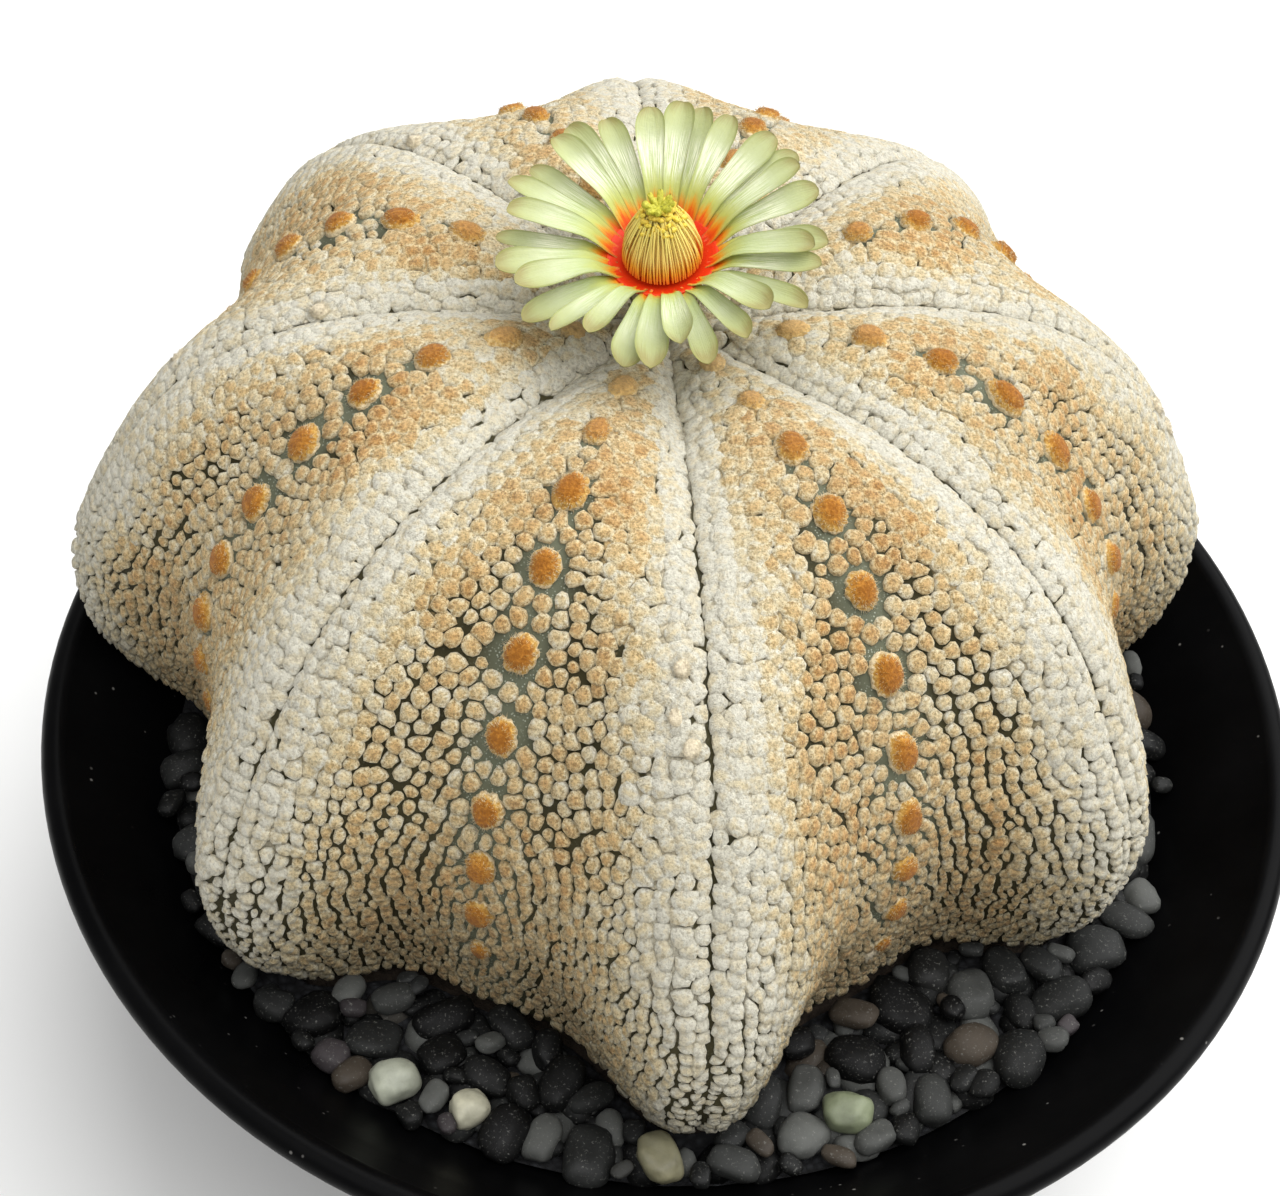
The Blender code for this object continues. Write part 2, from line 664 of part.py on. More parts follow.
def petal(name, angle, length, lift, rise, rng, collection):
    """One channelled blade with a round tip, bent up from the throat and over again at its end."""
    bm = bmesh.new()
    sections = []
    droop = rng.uniform(*PETAL_DROOP)
    yaw = rng.uniform(*PETAL_YAW)
    for t, width in PETAL_STATIONS:
        out = PETAL_ROOT[0] + length * t
        up = PETAL_ROOT[1] + lift * min(1, 2.5 * t) + length * math.tan(math.radians(rise)) * t - droop * t ** 3
        section = []
        for side, crease, layer in ((-1, 1, 1), (0, 0, 1), (1, 1, 1), (1, 1, -1), (0, 0, -1), (-1, 1, -1)):
            z = up + PETAL_CHANNEL * crease * (width / 4) + layer * PETAL_THICKNESS / 2
            section.append(bm.verts.new((out * MM, side * width / 2 * MM, z * MM)))
        sections.append(section)
    for near, far in zip(sections, sections[1:]):
        for i in range(6):
            j = (i + 1) % 6
            bm.faces.new((near[i], near[j], far[j], far[i]))
    for cap in (sections[0], sections[-1]):
        bm.faces.new((cap[0], cap[1], cap[4], cap[5]))
        bm.faces.new((cap[1], cap[2], cap[3], cap[4]))
    for face in [f for f in bm.faces if len(f.verts) > 3]:
        bmesh.ops.triangulate(bm, faces=[face])
    bmesh.ops.recalc_face_normals(bm, faces=bm.faces)
    turn = Matrix.Rotation(angle + math.radians(yaw), 4, "Z")
    bmesh.ops.transform(bm, matrix=turn, verts=bm.verts)
    return mesh_object(name, bm, collection)


def flower_petals(parts):
    """All petals, in three layers, grown together round the throat; those at the back rise more."""
    rng = random.Random(SEED)
    repeats = new_collection("petals_to_join")
    profile = scaled(THROAT_OUTLINE)
    petals = turned("flower_petals", profile, THROAT_SIDES, parts,
                    material("lime_petals", (0.82, 0.88, 0.5), 0.5), closed=True)
    apply_modifiers(petals)
    for layer, (count, start, lift, length, rise) in enumerate(PETAL_LAYERS):
        for i in range(count):
            angle = math.radians(start) + 2 * math.pi * i / count
            raised = rise + PETAL_BACK_RISE * (1 + math.sin(angle))
            stretched = length * rng.uniform(*PETAL_STRETCH)
            petal(f"petal_{layer}_{i}", angle, stretched, lift, raised, rng, repeats)
    join_repeats(petals, repeats)
    petals.matrix_world = flower_frame()


def needle(name, start, end, radius, collection):
    """A thin three-sided filament from one point to another."""
    bm = bmesh.new()
    span = end - start
    bmesh.ops.create_cone(bm, cap_ends=True, segments=3, radius1=radius, radius2=radius, depth=span.length)
    turn = span.to_track_quat("Z", "X").to_matrix().to_4x4()
    bmesh.ops.transform(bm, matrix=Matrix.Translation((start + end) / 2) @ turn, verts=bm.verts)
    return mesh_object(name, bm, collection)


def anther(name, place, collection):
    bm = bmesh.new()
    bmesh.ops.create_uvsphere(bm, u_segments=4, v_segments=2, radius=ANTHER_RADIUS)
    bmesh.ops.transform(bm, matrix=Matrix.Translation(place), verts=bm.verts)
    return mesh_object(name, bm, collection)


def around_axis(place, a):
    """A (radius, height) place in mm, turned round the axis to angle a."""
    return Vector((place[0] * math.cos(a), place[0] * math.sin(a), place[1])) * MM


def flower_stamens(parts):
    """The cone of filaments with its crown of anthers, round a plain hole for the style."""
    repeats = new_collection("stamens_to_join")
    stamens = turned("flower_stamens", scaled(STAMEN_OUTLINE), STAMEN_SIDES, parts,
                     material("yellow_anthers", (0.85, 0.6, 0.08), 0.7), closed=True)
    apply_modifiers(stamens)
    for i in range(FILAMENTS):
        a = 2 * math.pi * (i + 0.5) / FILAMENTS
        foot, head = around_axis(FILAMENT_FOOT, a), around_axis(FILAMENT_HEAD, a)
        needle(f"filament_{i}", foot, head, FILAMENT_RADIUS, repeats)
    for ring, (count, radius, height) in enumerate(ANTHER_RINGS):
        for i in range(count):
            a = 2 * math.pi * (i + 0.5) / count
            anther(f"anther_{ring}_{i}", around_axis((radius, height), a), repeats)
    join_repeats(stamens, repeats)
    stamens.matrix_world = flower_frame()


def flower_stigma(parts):
    """The style through the stamens, with its lobes spread and raised at the top."""
    repeats = new_collection("stigma_to_join")
    outline = ((0, STYLE_TOP), (STYLE_RADIUS, STYLE_TOP), (STYLE_RADIUS, STYLE_FOOT), (0, STYLE_FOOT))
    green = material("green_stigma", (0.66, 0.72, 0.15), 0.6)
    stigma = turned("flower_stigma", scaled(outline), STYLE_SIDES, parts, green)
    apply_modifiers(stigma)
    for i in range(STIGMA_LOBES):
        a = 2 * math.pi * i / STIGMA_LOBES
        needle(f"lobe_{i}", around_axis(LOBE_FOOT, a), around_axis(LOBE_HEAD, a), LOBE_RADIUS, repeats)
    join_repeats(stigma, repeats)
    stigma.matrix_world = flower_frame()


def main():
    clear_scene()
    parts = new_collection(COLLECTION)
    cutters = new_collection("cutters")
    bowl(parts, cutters)
    soil(parts, cutters)
    pebble_bed(parts)
    pale_pebbles(parts)
    cactus_body(parts)
    flower_tube(parts)
    flower_petals(parts)
    flower_stamens(parts)
    flower_stigma(parts)


main()
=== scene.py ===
"""Looks of the potted star cactus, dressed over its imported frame. Metres, +Z up.

The front arm points to -Y. The felt flecks, areoles, bloom, pebbles and bowl made here replace the
faceted solids and keep their form, so the outlines below are those of the solids.
"""

import math
import random

import bmesh
import bpy
import numpy as np
from mathutils import Euler, Matrix, Vector, noise
from mathutils.kdtree import KDTree


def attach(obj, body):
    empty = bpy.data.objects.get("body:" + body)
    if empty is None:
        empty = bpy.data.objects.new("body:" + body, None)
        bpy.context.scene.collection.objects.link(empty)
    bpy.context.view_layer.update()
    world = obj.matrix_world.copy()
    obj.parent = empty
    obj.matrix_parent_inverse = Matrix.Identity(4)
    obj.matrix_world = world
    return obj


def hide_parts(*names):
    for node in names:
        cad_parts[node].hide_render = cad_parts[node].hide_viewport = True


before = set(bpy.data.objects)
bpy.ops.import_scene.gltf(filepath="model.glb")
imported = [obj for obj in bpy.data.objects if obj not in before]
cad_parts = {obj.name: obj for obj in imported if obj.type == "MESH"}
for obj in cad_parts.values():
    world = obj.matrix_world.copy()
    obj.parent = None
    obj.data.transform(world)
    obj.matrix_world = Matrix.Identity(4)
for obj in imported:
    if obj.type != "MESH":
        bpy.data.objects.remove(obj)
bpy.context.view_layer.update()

MM = 0.001
SEED = 8

# Bowl, with the same outline as its solid
BOWL_HEIGHT = 60 * MM
BOWL_FLOOR = 5 * MM
FLOOR_RADIUS = 38 * MM
FLOOR_EDGE = 2 * MM
WALL_TOP = 56.5 * MM
LIP_INNER_RADIUS = 81.6 * MM
LIP_CENTRE = (83 * MM, 58 * MM)
LIP_BEAD = 2 * MM
WALL = 3.4 * MM
FLARE = 1.25
FOOT_ROUND = 2.5 * MM
BOWL_STEPS = 144
WALL_STEPS = 22
DRAIN_HOLES = 4
DRAIN_RADIUS = 4 * MM
DRAIN_CIRCLE = 20 * MM

# Pebble bed
BED_BOTTOM = 46 * MM
BED_LEVEL = 49 * MM
GRIT_LEVEL = 46.9 * MM
GRIT_RELIEF = 0.5 * MM
GRIT_CLEARANCE = 0.4 * MM
GRIT_STEPS = 180
GRIT_LANES = 10
POCKET_FLOOR = 47.4 * MM
# Half length in mm and most stones of each size, large ones first
STONE_SIZES = ((4.4, 5), (3.9, 12), (3.4, 30), (3.0, 70), (2.6, 150), (2.2, 260), (1.8, 320), (1.5, 300))
STONE_THROWS = 1500
STONE_OVERLAP = 0.75 * MM
STONE_RISE = 1.9 * MM
STONE_TILT = 0.22
THICKEST_STONE = 2.3 * MM
UNDER_LAYER_DROP = 1.9 * MM
# Place and half sizes in mm, and colour
PALE_PEBBLES = {
    "white": ((-31, -59), (3.2, 2.7, 2.4), (0.46, 0.48, 0.38)),
    "cream": ((-21.5, -62), (2.4, 2.3, 2.2), (0.58, 0.56, 0.42)),
    "green": ((25, -58.5), (3.1, 2.6, 2.3), (0.22, 0.25, 0.15)),
    "olive": ((2, -66.5), (3.3, 2.6, 2.3), (0.3, 0.28, 0.17)),
}

# Plant: outlines as radius and height above the bowl's rim in mm. They run from the crown, s = 0,
# down to the pebbles, s = 1, and an arm's low end sets in between the two values of LOW_END.
PLANT_AXIS = (-4.8 * MM, 15.7 * MM)
ARMS = 8
FRONT_ARM_TURN = math.radians(7.2)
ARM_OUTLINE = ((0, 50.5), (17, 53), (33.5, 54), (51, 50.5), (64.5, 41.5),
               (74, 28), (80.5, 14), (80, 0), (74, -11))
GROOVE_OUTLINE = ((0, 50.5), (14.5, 54), (29.5, 56.5), (43.5, 53), (55, 43),
                  (62.5, 30.5), (65, 17.5), (64.5, 4), (62, -11))
ARM_SHARPNESS = 3
KEEL_START = 0.68
KEEL_SHARPNESS = 5.5
LOW_END = (0.6, 0.85)
ARM_REACH = (1.055, 0.98, 0.945, 0.92, 0.965, 0.99, 0.96, 0.995)
ARM_TURN = tuple(math.radians(a) for a in (0.5, 0, -1, -1, 0, -2, 1.5, 1.5))
CLEAR_RADIUS = 63 * MM
CLEAR_SLOPE = 1.5
CLEAR_SOFTNESS = 1.5 * MM
CROWN_SEAT = 0.045
TUCK = 0.88
ROOT_TOP_RADIUS = 16 * MM
ROOT_END_RADIUS = 5 * MM
ROOT_END = 20 * MM
FOOT_PLACE = 0.955
SKIN_ROWS = 110
SKIN_STEPS_PER_ARM = 34

# Seam along each arm's crest, between its two felt bands
SEAM_DEPTH = 0.85 * MM
SEAM_WIDTH = 1.5 * MM
SEAM_GAP = (0.02 * MM, 0.18 * MM)
SEAM_WANDER = 0.6 * MM
SEAM_FRAY = 0.85 * MM
SEAM_CROWDING = 0.12
NOTCH = 0.65 * MM
CRACKED_SHARE = 0.13
CRACK = 0.14 * MM

# Felt flecks, at their real size
FLECK_PITCH = 2.12 * MM
LOW_PITCH = 1.36 * MM
FLECK_SIDES = 11
FLECK_FIRST = 0.035
FLECK_LAST = 0.985
FLECK_JITTER = 0.24
ROW_WANDER = (0.7, 1.25)
FLECK_CLOSEST = 0.58
# Share of the radius and of the height for each ring of a pad, and how far out it counts as rim. The
# outermost ring takes painted shade on the pad's side wall; the rings near the rim are paler, partly the
# wool's own fringe and partly painted sheen
FLECK_RINGS = ((1.0, -0.45), (0.99, 0.42), (0.85, 0.9))
FLECK_RIM_AND_SHADE = (1.0, 0.9, 0.68)
FLECK_CORNERS = 6
GROOVE_RADIUS = (1.2 * MM, 1.6 * MM)
CREST_RADIUS = 2.4 * MM
SMALL_SHARE = 0.07
SMALL_RADIUS = 0.75 * MM
GROOVE_GAP = -0.02 * MM
CREST_GAP = -0.55 * MM
LOW_GAP = 0.25 * MM
LOW_TILT = 0.7
ROW_FISSURE = 0.33 * MM
FUSED_OVERLAP = 0.7 * MM
GROOVE_HEIGHT = 0.62 * MM
CREST_HEIGHT = 0.36 * MM
FILL_ROW = 100
FILL_THROWS = 30000
FILL_START = 0.12
FILL_SPACING = 0.76
SPREAD_ROUNDS = 6
CREST_LINING = 0.2 * MM

# Areoles down the grooves
AREOLE_STARTS = (0.105, 0.142, 0.153, 0.153, 0.11, 0.147, 0.112, 0.153)
AREOLE_STEP = 0.079
AREOLE_END = 0.93
AREOLE_HALF_LENGTH = 2.35 * MM
AREOLE_HALF_WIDTH = 1.9 * MM
AREOLE_HEIGHT = 1.7 * MM
AREOLE_SIDES = 30
AREOLE_RINGS = ((1.0, -0.2), (1.05, 0.15), (1.0, 0.36), (0.86, 0.5), (0.76, 0.78), (0.5, 0.95), (0.2, 1.0))
AREOLE_FIBRES = 130
FIBRE_RADIUS = 0.055 * MM
FIBRE_LENGTH = (0.45, 0.85)
# Small woolly tufts on the arms, as (s, k)
TUFTS = ((0.401, 7.935), (0.442, 7.92), (0.32, 5.965), (0.349, 4.955), (0.487, 5.915),
         (0.535, 1.965), (0.57, 1.965), (0.463, 7.955), (0.906, 0.465))
TUFT_SIZE = 0.55
# Distance from an areole's middle to the middle of the nearest flecks, at places down the groove
CLEAR_PLACES = (0.12, 0.22, 0.42, 0.62, 0.9)
CLEARANCES = (3.1 * MM, 4.0 * MM, 4.2 * MM, 3.8 * MM, 3.1 * MM)

# Flower, in its own frame in mm: z = 0 is the crown it stands on
FLOWER_LEAN = Euler((math.radians(8.5), math.radians(-5), 0))
FLOWER_LIFT = 1.0 * MM
TUBE_OUTLINE = ((3.3, 0), (3.9, 1.2), (3.7, 3.5), (4.1, 5.6), (4.9, 7.6), (5.3, 9), (5.6, 10.6))
# Petals, first angle, lift, length and rise in degrees of each layer
PETAL_LAYERS = ((10, 4, -0.6, 14.9, 8), (10, 16, 0.2, 14.4, 10), (10, 28, 1.1, 13.3, 13))
PETAL_BACK_RISE = 3.5
PETAL_ROOT = (5.4, 12.0)
FUNNEL_DEPTH = 1.7
FUNNEL_REACH = 0.3
PETAL_DROOP = (0.1, 0.8)
PETAL_YAW = (-3, 3)
PETAL_STRETCH = (0.95, 1.04)
# How far petals may differ in width, channel, sweep, twist, ripple and paleness
PETAL_STYLE = {"broad": (-0.26, 0), "curl": (0, 0.4), "sweep": (-1, 1), "twist": (-0.3, 0.3),
               "phase": (0, 6), "draw": (-0.25, 0.25)}
PETAL_STEPS = 20
PETAL_LANES = 8
PETAL_BASE_WIDTH = 2.2
PETAL_WIDTH = 4.15
PETAL_THICKNESS = 0.3
THROAT_OUTLINE = ((2.6, 9.9), (3.6, 10.0), (4.8, 10.3), (5.8, 10.8), (6.6, 11.2), (6.8, 10.9), (6.2, 10.3))
FILAMENT_FOOT = 11.0
FILAMENT_TOP = 18.7
FILAMENT_STEPS = 8
FILAMENT_SIDES = 5
FILAMENT_RADII = (0.13, 0.09)
# Filaments, radius of their feet and of their heads
FILAMENT_RINGS = ((88, 4.8, 2.5), (70, 4.3, 1.9), (46, 3.6, 1.2))
CONE_CORE = ((0.5, 17.4), (1.4, 16.9), (2.3, 15.6), (3.3, 14.0), (4.0, 12.4), (3.2, 10.4))
# Anthers, radius and height
ANTHER_RINGS = ((30, 2.6, 17.0), (26, 2.1, 17.8), (20, 1.5, 18.4), (12, 1.0, 18.8))
STYLE_HEIGHT = 8.3
STYLE_RADIUS = 0.6
STIGMA_LOBES = 8
LOBE_FOOT = 18.6
LOBE_RADIUS = 0.4
SCALE_ROWS = 5
SCALES_PER_ROW = 13
FIRST_SCALE = 0.9
SCALE_PITCH = 1.55

# Photograph's viewpoint
LENS = 61.9
SENSOR = 36
CAMERA_PLACE = (-5.3 * MM, -193.8 * MM, 292.8 * MM)
CAMERA_TILT = math.radians(90 - 48.15)
CAMERA_ROLL = math.radians(4.36)


# Node materials

class Look:
    """A material, with short calls for the shader nodes used here. Inputs go to its main shader."""

    def __init__(self, name, inputs):
        self.mat = bpy.data.materials.new(name)
        self.mat.use_nodes = True
        self.tree = self.mat.node_tree
        self.shader = self.tree.nodes["Principled BSDF"]
        for label, value in inputs.items():
            self.shader.inputs[label].default_value = value
        self.coords = self.node("TexCoord").outputs["Object"]

    def node(self, kind, feeds=None, **settings):
        """Adds a node. Feeds maps an input to a value, or to the socket that feeds it."""
        made = self.tree.nodes.new("ShaderNode" + kind)
        for name, value in settings.items():
            setattr(made, name, value)
        for name, value in (feeds or {}).items():
            if isinstance(value, bpy.types.NodeSocket):
                self.tree.links.new(value, made.inputs[name])
            else:
                made.inputs[name].default_value = value
        return made

    def math(self, operation, a, b=0.0, clamp=False):
        return self.node("Math", {0: a, 1: b}, operation=operation, use_clamp=clamp).outputs[0]

    def times(self, a, b):
        return self.math("MULTIPLY", a, b)

    def plus(self, a, b, clamp=False):
        return self.math("ADD", a, b, clamp)

    def noise(self, scale, detail=3.0, roughness=0.55, at=None):
        feeds = {"Vector": at or self.coords, "Scale": scale, "Detail": detail, "Roughness": roughness}
        return self.node("TexNoise", feeds).outputs["Fac"]

    def cells(self, scale):
        """Distance to the middle of the nearest of many scattered cells."""
        return self.node("TexVoronoi", {"Vector": self.coords, "Scale": scale}).outputs["Distance"]

    def span(self, value, low, high, to_low=0.0, to_high=1.0):
        """Maps low..high to to_low..to_high, clamped, with soft ends."""
        feeds = {"Value": value, "From Min": low, "From Max": high, "To Min": to_low, "To Max": to_high}
        return self.node("MapRange", feeds, interpolation_type="SMOOTHSTEP").outputs["Result"]

    def ramp(self, value, *stops):
        """Colour ramp from (place, colour) stops."""
        made = self.node("ValToRGB", {"Fac": value})
        elements = made.color_ramp.elements
        while len(elements) < len(stops):
            elements.new(1.0)
        for element, (place, colour) in zip(elements, stops):
            element.position = place
            element.color = (*colour, 1)
        return made.outputs["Color"]

    def mix(self, share, a, b, blend="MIX"):
        """Mixes two colours; each is a socket or a plain colour."""
        a, b = (c if isinstance(c, bpy.types.NodeSocket) else (*c, 1) for c in (a, b))
        return self.node("Mix", {0: share, 6: a, 7: b}, data_type="RGBA", blend_type=blend).outputs[2]

    def channels(self, name):
        """The three numbers that a piece keeps at each vertex under this name."""
        vector = self.node("Attribute", attribute_name=name).outputs["Vector"]
        return self.node("SeparateXYZ", {0: vector}).outputs

    def finish(self, colour, height, distance, strength=1.0, roughness=None):
        """Links colour, bumps and any roughness to the main shader, and returns the material."""
        bumps = self.node("Bump", {"Height": height, "Distance": distance, "Strength": strength})
        feeds = {"Base Color": colour, "Normal": bumps.outputs["Normal"], "Roughness": roughness}
        for label, socket in feeds.items():
            if socket:
                self.tree.links.new(socket, self.shader.inputs[label])
        return self.mat


# Meshes

def make_piece(name, verts, faces, mat, nodes=(), attribute=None):
    """Makes a mesh piece that rides on the part and stands for the CAD nodes named.

    Faces are an array, or a list where they differ in length.
    """
    mesh = bpy.data.meshes.new(name)
    faces = faces if isinstance(faces, list) else faces.tolist()
    mesh.from_pydata(np.asarray(verts).tolist(), [], faces)
    if attribute:
        label, values = attribute
        kept = mesh.attributes.new(label, "FLOAT_VECTOR", "POINT")
        kept.data.foreach_set("vector", np.asarray(values, np.float32).ravel())
    mesh.shade_smooth()
    mesh.materials.append(mat)
    place_piece(new_object(name, mesh), nodes)


def new_object(name, data):
    made = bpy.data.objects.new(name, data)
    bpy.context.scene.collection.objects.link(made)
    return made


def place_piece(obj, nodes):
    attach(obj, "root")
    if nodes:
        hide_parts(*nodes)


def ring_faces(rings, sides, closed=True):
    """Quads between rings of vertices that follow one another, rings counted outward or upward."""
    r, s = np.meshgrid(np.arange(rings - 1), np.arange(sides if closed else sides - 1), indexing="ij")
    after = (s + 1) % sides
    here, outer = r * sides, (r + 1) * sides
    return np.stack([here + s, here + after, outer + after, outer + s], -1).reshape(-1, 4)


def fan(first, sides, tip):
    """Triangles from a ring of vertices, counted from first, to one more vertex."""
    return [[first + (i + 1) % sides, first + i, tip] for i in range(sides)]


def unit(vectors):
    return vectors / np.linalg.norm(vectors, axis=-1, keepdims=True)


def polar(radius, angle, *height):
    """Points at a radius and angle in plan, with their height where it is given."""
    return np.stack([radius * np.cos(angle), radius * np.sin(angle), *height], -1)


def even_angles(sides):
    return 2 * np.pi * np.arange(sides) / sides


def kd_tree(points):
    tree = KDTree(len(points))
    for i, point in enumerate(points):
        tree.insert(point, i)
    tree.balance()
    return tree


def neighbours(points, count):
    """Which other points are nearest to each point."""
    tree = kd_tree(points)
    return np.array([[hit[1] for hit in tree.find_n(point, count + 1)[1:]] for point in points])


def smoothstep(low, high, x):
    t = np.clip((x - low) / (high - low), 0, 1)
    return t * t * (3 - 2 * t)


def field(points, scale, offset=0.0):
    """Smooth noise of about -1 to 1 at each point; scale is in cells per metre."""
    shift = Vector((offset, offset * 0.7, -offset))
    return np.array([noise.noise(Vector(p) * scale + shift) for p in points])


# Plant form

def smooth(points, t, mirrored=False):
    """Smooth curve through the points for t in 0..1, mirrored across its first point where asked."""
    points = np.array(points, float)
    lead_in = points[1] * (-1, 1) if mirrored else 2 * points[0] - points[1]
    padded = np.vstack([lead_in, points, 2 * points[-1] - points[-2]])
    spans = len(points) - 1
    i = np.clip((t * spans).astype(int), 0, spans - 1)
    f = (t * spans - i)[..., None]
    before, a, b, after = (padded[i + n] for n in range(4))
    pull = (b - before) * f + (2 * before - 5 * a + 4 * b - after) * f ** 2
    return a + (pull + (3 * a - before - 3 * b + after) * f ** 3) / 2


def arm_and_next(values, k):
    arm = np.floor(k).astype(int)
    values = np.array(values)
    return values[arm % ARMS], values[(arm + 1) % ARMS], k - arm


def azimuth(k):
    """Angle from -Y towards +X of arm position k; whole numbers are arms, halves are grooves."""
    here, after, share = arm_and_next(ARM_TURN, k)
    return FRONT_ARM_TURN + k * 2 * np.pi / ARMS + here * (1 - share) + after * share


def skin(s, k):
    """Points of the plant's skin: s runs from the crown (0) to the pebbles (1), k round the arms."""
    s, k = np.broadcast_arrays(np.asarray(s, float), np.asarray(k, float))
    arm = smooth(ARM_OUTLINE, s, mirrored=True)
    groove = smooth(GROOVE_OUTLINE, s, mirrored=True)
    keel = np.maximum(0, (s - KEEL_START) / (1 - KEEL_START))
    sharpness = ARM_SHARPNESS + (KEEL_SHARPNESS - ARM_SHARPNESS) * keel
    share = (np.abs(np.cos(np.pi * (k - np.round(k)))) ** sharpness)[..., None]
    radius, height = np.moveaxis(groove + (arm - groove) * share, -1, 0) * MM
    here, after, between = arm_and_next(ARM_REACH, k)
    ease = 0.5 - 0.5 * np.cos(np.pi * between)
    radius = radius * (1 + (here * (1 - ease) + after * ease - 1) * np.minimum(1.3 * s, 1))
    a = azimuth(k)
    x = PLANT_AXIS[0] + radius * np.sin(a)
    y = PLANT_AXIS[1] - radius * np.cos(a)
    z = BOWL_HEIGHT + height
    reach = np.hypot(x, y)
    limit = CLEAR_RADIUS + np.maximum(z - BED_LEVEL, 0) * CLEAR_SLOPE
    over = np.logaddexp(0, (reach - limit) / CLEAR_SOFTNESS) * CLEAR_SOFTNESS
    scale = np.where(reach > 20 * MM, 1 - over / np.maximum(reach, CLEAR_SOFTNESS), 1)
    return np.stack([x * scale, y * scale, z], -1)


def directions(surface, s, k):
    """Unit vectors down the arm, round the plant and out of the surface."""
    step = 0.004
    s = np.clip(s, 2 * step, 1 - step)
    along = unit(surface(s + step, k) - surface(s - step, k))
    out = unit(np.cross(along, surface(s, k + step) - surface(s, k - step)))
    return along, np.cross(out, along), out


def felted(s, k):
    """The skin with the seam pressed in along each crest."""
    point = skin(s, k)
    away = np.linalg.norm(point - skin(s, np.round(k)), axis=-1)
    depth = SEAM_DEPTH * np.exp(-(away / SEAM_WIDTH) ** 2) * smoothstep(0.02, 0.12, s)
    return point - directions(skin, s, k)[2] * depth[..., None]


def off_crest(k):
    """0 on an arm's crest, 1 in a groove."""
    return 2 * np.abs(k - np.round(k))


def areole_places():
    """Places (s, k) of the areoles, at even steps down each groove."""
    places = []
    for groove, s in enumerate(AREOLE_STARTS):
        while s < AREOLE_END:
            places.append((s, groove + 0.5))
            s += AREOLE_STEP
    return np.array(places)


# Felt

def travelled(path):
    """Length of a path up to each of its points."""
    steps = np.linalg.norm(np.diff(path, axis=-2), axis=-1)
    return np.cumsum(np.insert(steps, 0, 0, axis=-1), axis=-1)


def fleck_rows(rng):
    """Flecks in rows at even distances from each crest, from the crest inward, as on the plant.

    Returns each fleck's row, its half of an arm, its place (s, k) and its share of the way from
    crest to groove.
    """
    stations = np.linspace(FLECK_FIRST, FLECK_LAST, 260)
    shares = np.linspace(0, 1, 33)
    found = []
    for half in range(2 * ARMS):
        arm = (half + 1) // 2
        side = 1 if half % 2 == 0 else -1
        across = travelled(skin(stations[:, None], arm + side * shares / 2))
        for row in range(int(across[:, -1].max() / FLECK_PITCH)):
            distance = (row + 0.5) * FLECK_PITCH
            inside = across[:, -1] > distance + 0.1 * FLECK_PITCH
            if inside.sum() < 2:
                continue
            s = stations[inside]
            u = np.array([np.interp(distance, line, shares) for line in across[inside]])
            travel = travelled(skin(s, arm + side * u / 2))
            pitch = fleck_pitch(s) * (1 - (row == 0) * SEAM_CROWDING * smoothstep(*LOW_END, s))
            number = np.cumsum(np.diff(travel, prepend=0) / pitch)
            count = int(number[-1])
            turn = np.arange(count) + rng.random() + rng.uniform(-1, 1, count) * FLECK_JITTER
            at = np.interp(turn, number, travel)
            fleck_u = np.interp(at, travel, u)
            fleck_s = np.interp(at, travel, s)
            spots = skin(fleck_s, arm + side * fleck_u / 2)
            sway = field(spots, 75, 31.0) + 0.45 * field(spots, 170, 11.0)
            sway *= np.interp(fleck_s, (0.35, 0.7), ROW_WANDER) * min(row, 3) / 3
            sway = (sway + rng.uniform(-1, 1, count) * FLECK_JITTER) * FLECK_PITCH
            fleck_u = fleck_u + sway / np.interp(fleck_s, stations, across[:, -1])
            for place in zip(fleck_s, arm + side * fleck_u / 2, fleck_u):
                found.append((row, half, *place))
    found.sort(key=lambda item: item[0])
    return np.array(found)


def fleck_pitch(s):
    """Distance between flecks along a row: closer low on the arms."""
    return FLECK_PITCH + (LOW_PITCH - FLECK_PITCH) * smoothstep(0.5, 0.85, s)


def areole_clearance(s):
    return np.interp(s, CLEAR_PLACES, CLEARANCES)


def kept_flecks(rng, areoles):
    """The rows of flecks and more in the holes between them, without those that crowd another."""
    rows = fleck_rows(rng)
    s = rng.uniform(FLECK_FIRST, FLECK_LAST, FILL_THROWS)
    k = rng.uniform(0, ARMS, FILL_THROWS)
    u = off_crest(k)
    fill = np.column_stack([FILL_ROW + np.arange(FILL_THROWS), np.zeros(FILL_THROWS), s, k, u])
    fill = fill[u > FILL_START]
    spacing = np.repeat([FLECK_CLOSEST, FILL_SPACING], [len(rows), len(fill)])
    rows = np.vstack([rows, fill])
    spacing = spacing * fleck_pitch(rows[:, 2])
    points = skin(rows[:, 2], rows[:, 3])
    centres = kd_tree(skin(*areoles.T))
    cell = FILL_SPACING * FLECK_PITCH
    cells = {}
    kept = []
    for i, point in enumerate(points):
        if centres.find(point)[2] < areole_clearance(rows[i, 2]) * 0.85:
            continue
        x, y, z = (int(math.floor(c / cell)) for c in point)
        around = [other for dx in (-1, 0, 1) for dy in (-1, 0, 1) for dz in (-1, 0, 1)
                  for other in cells.get((x + dx, y + dy, z + dz), ())]
        if not around or np.linalg.norm(points[around] - point, axis=1).min() > spacing[i]:
            cells.setdefault((x, y, z), []).append(i)
            kept.append(i)
    return spread(rows[kept], centres, areoles)


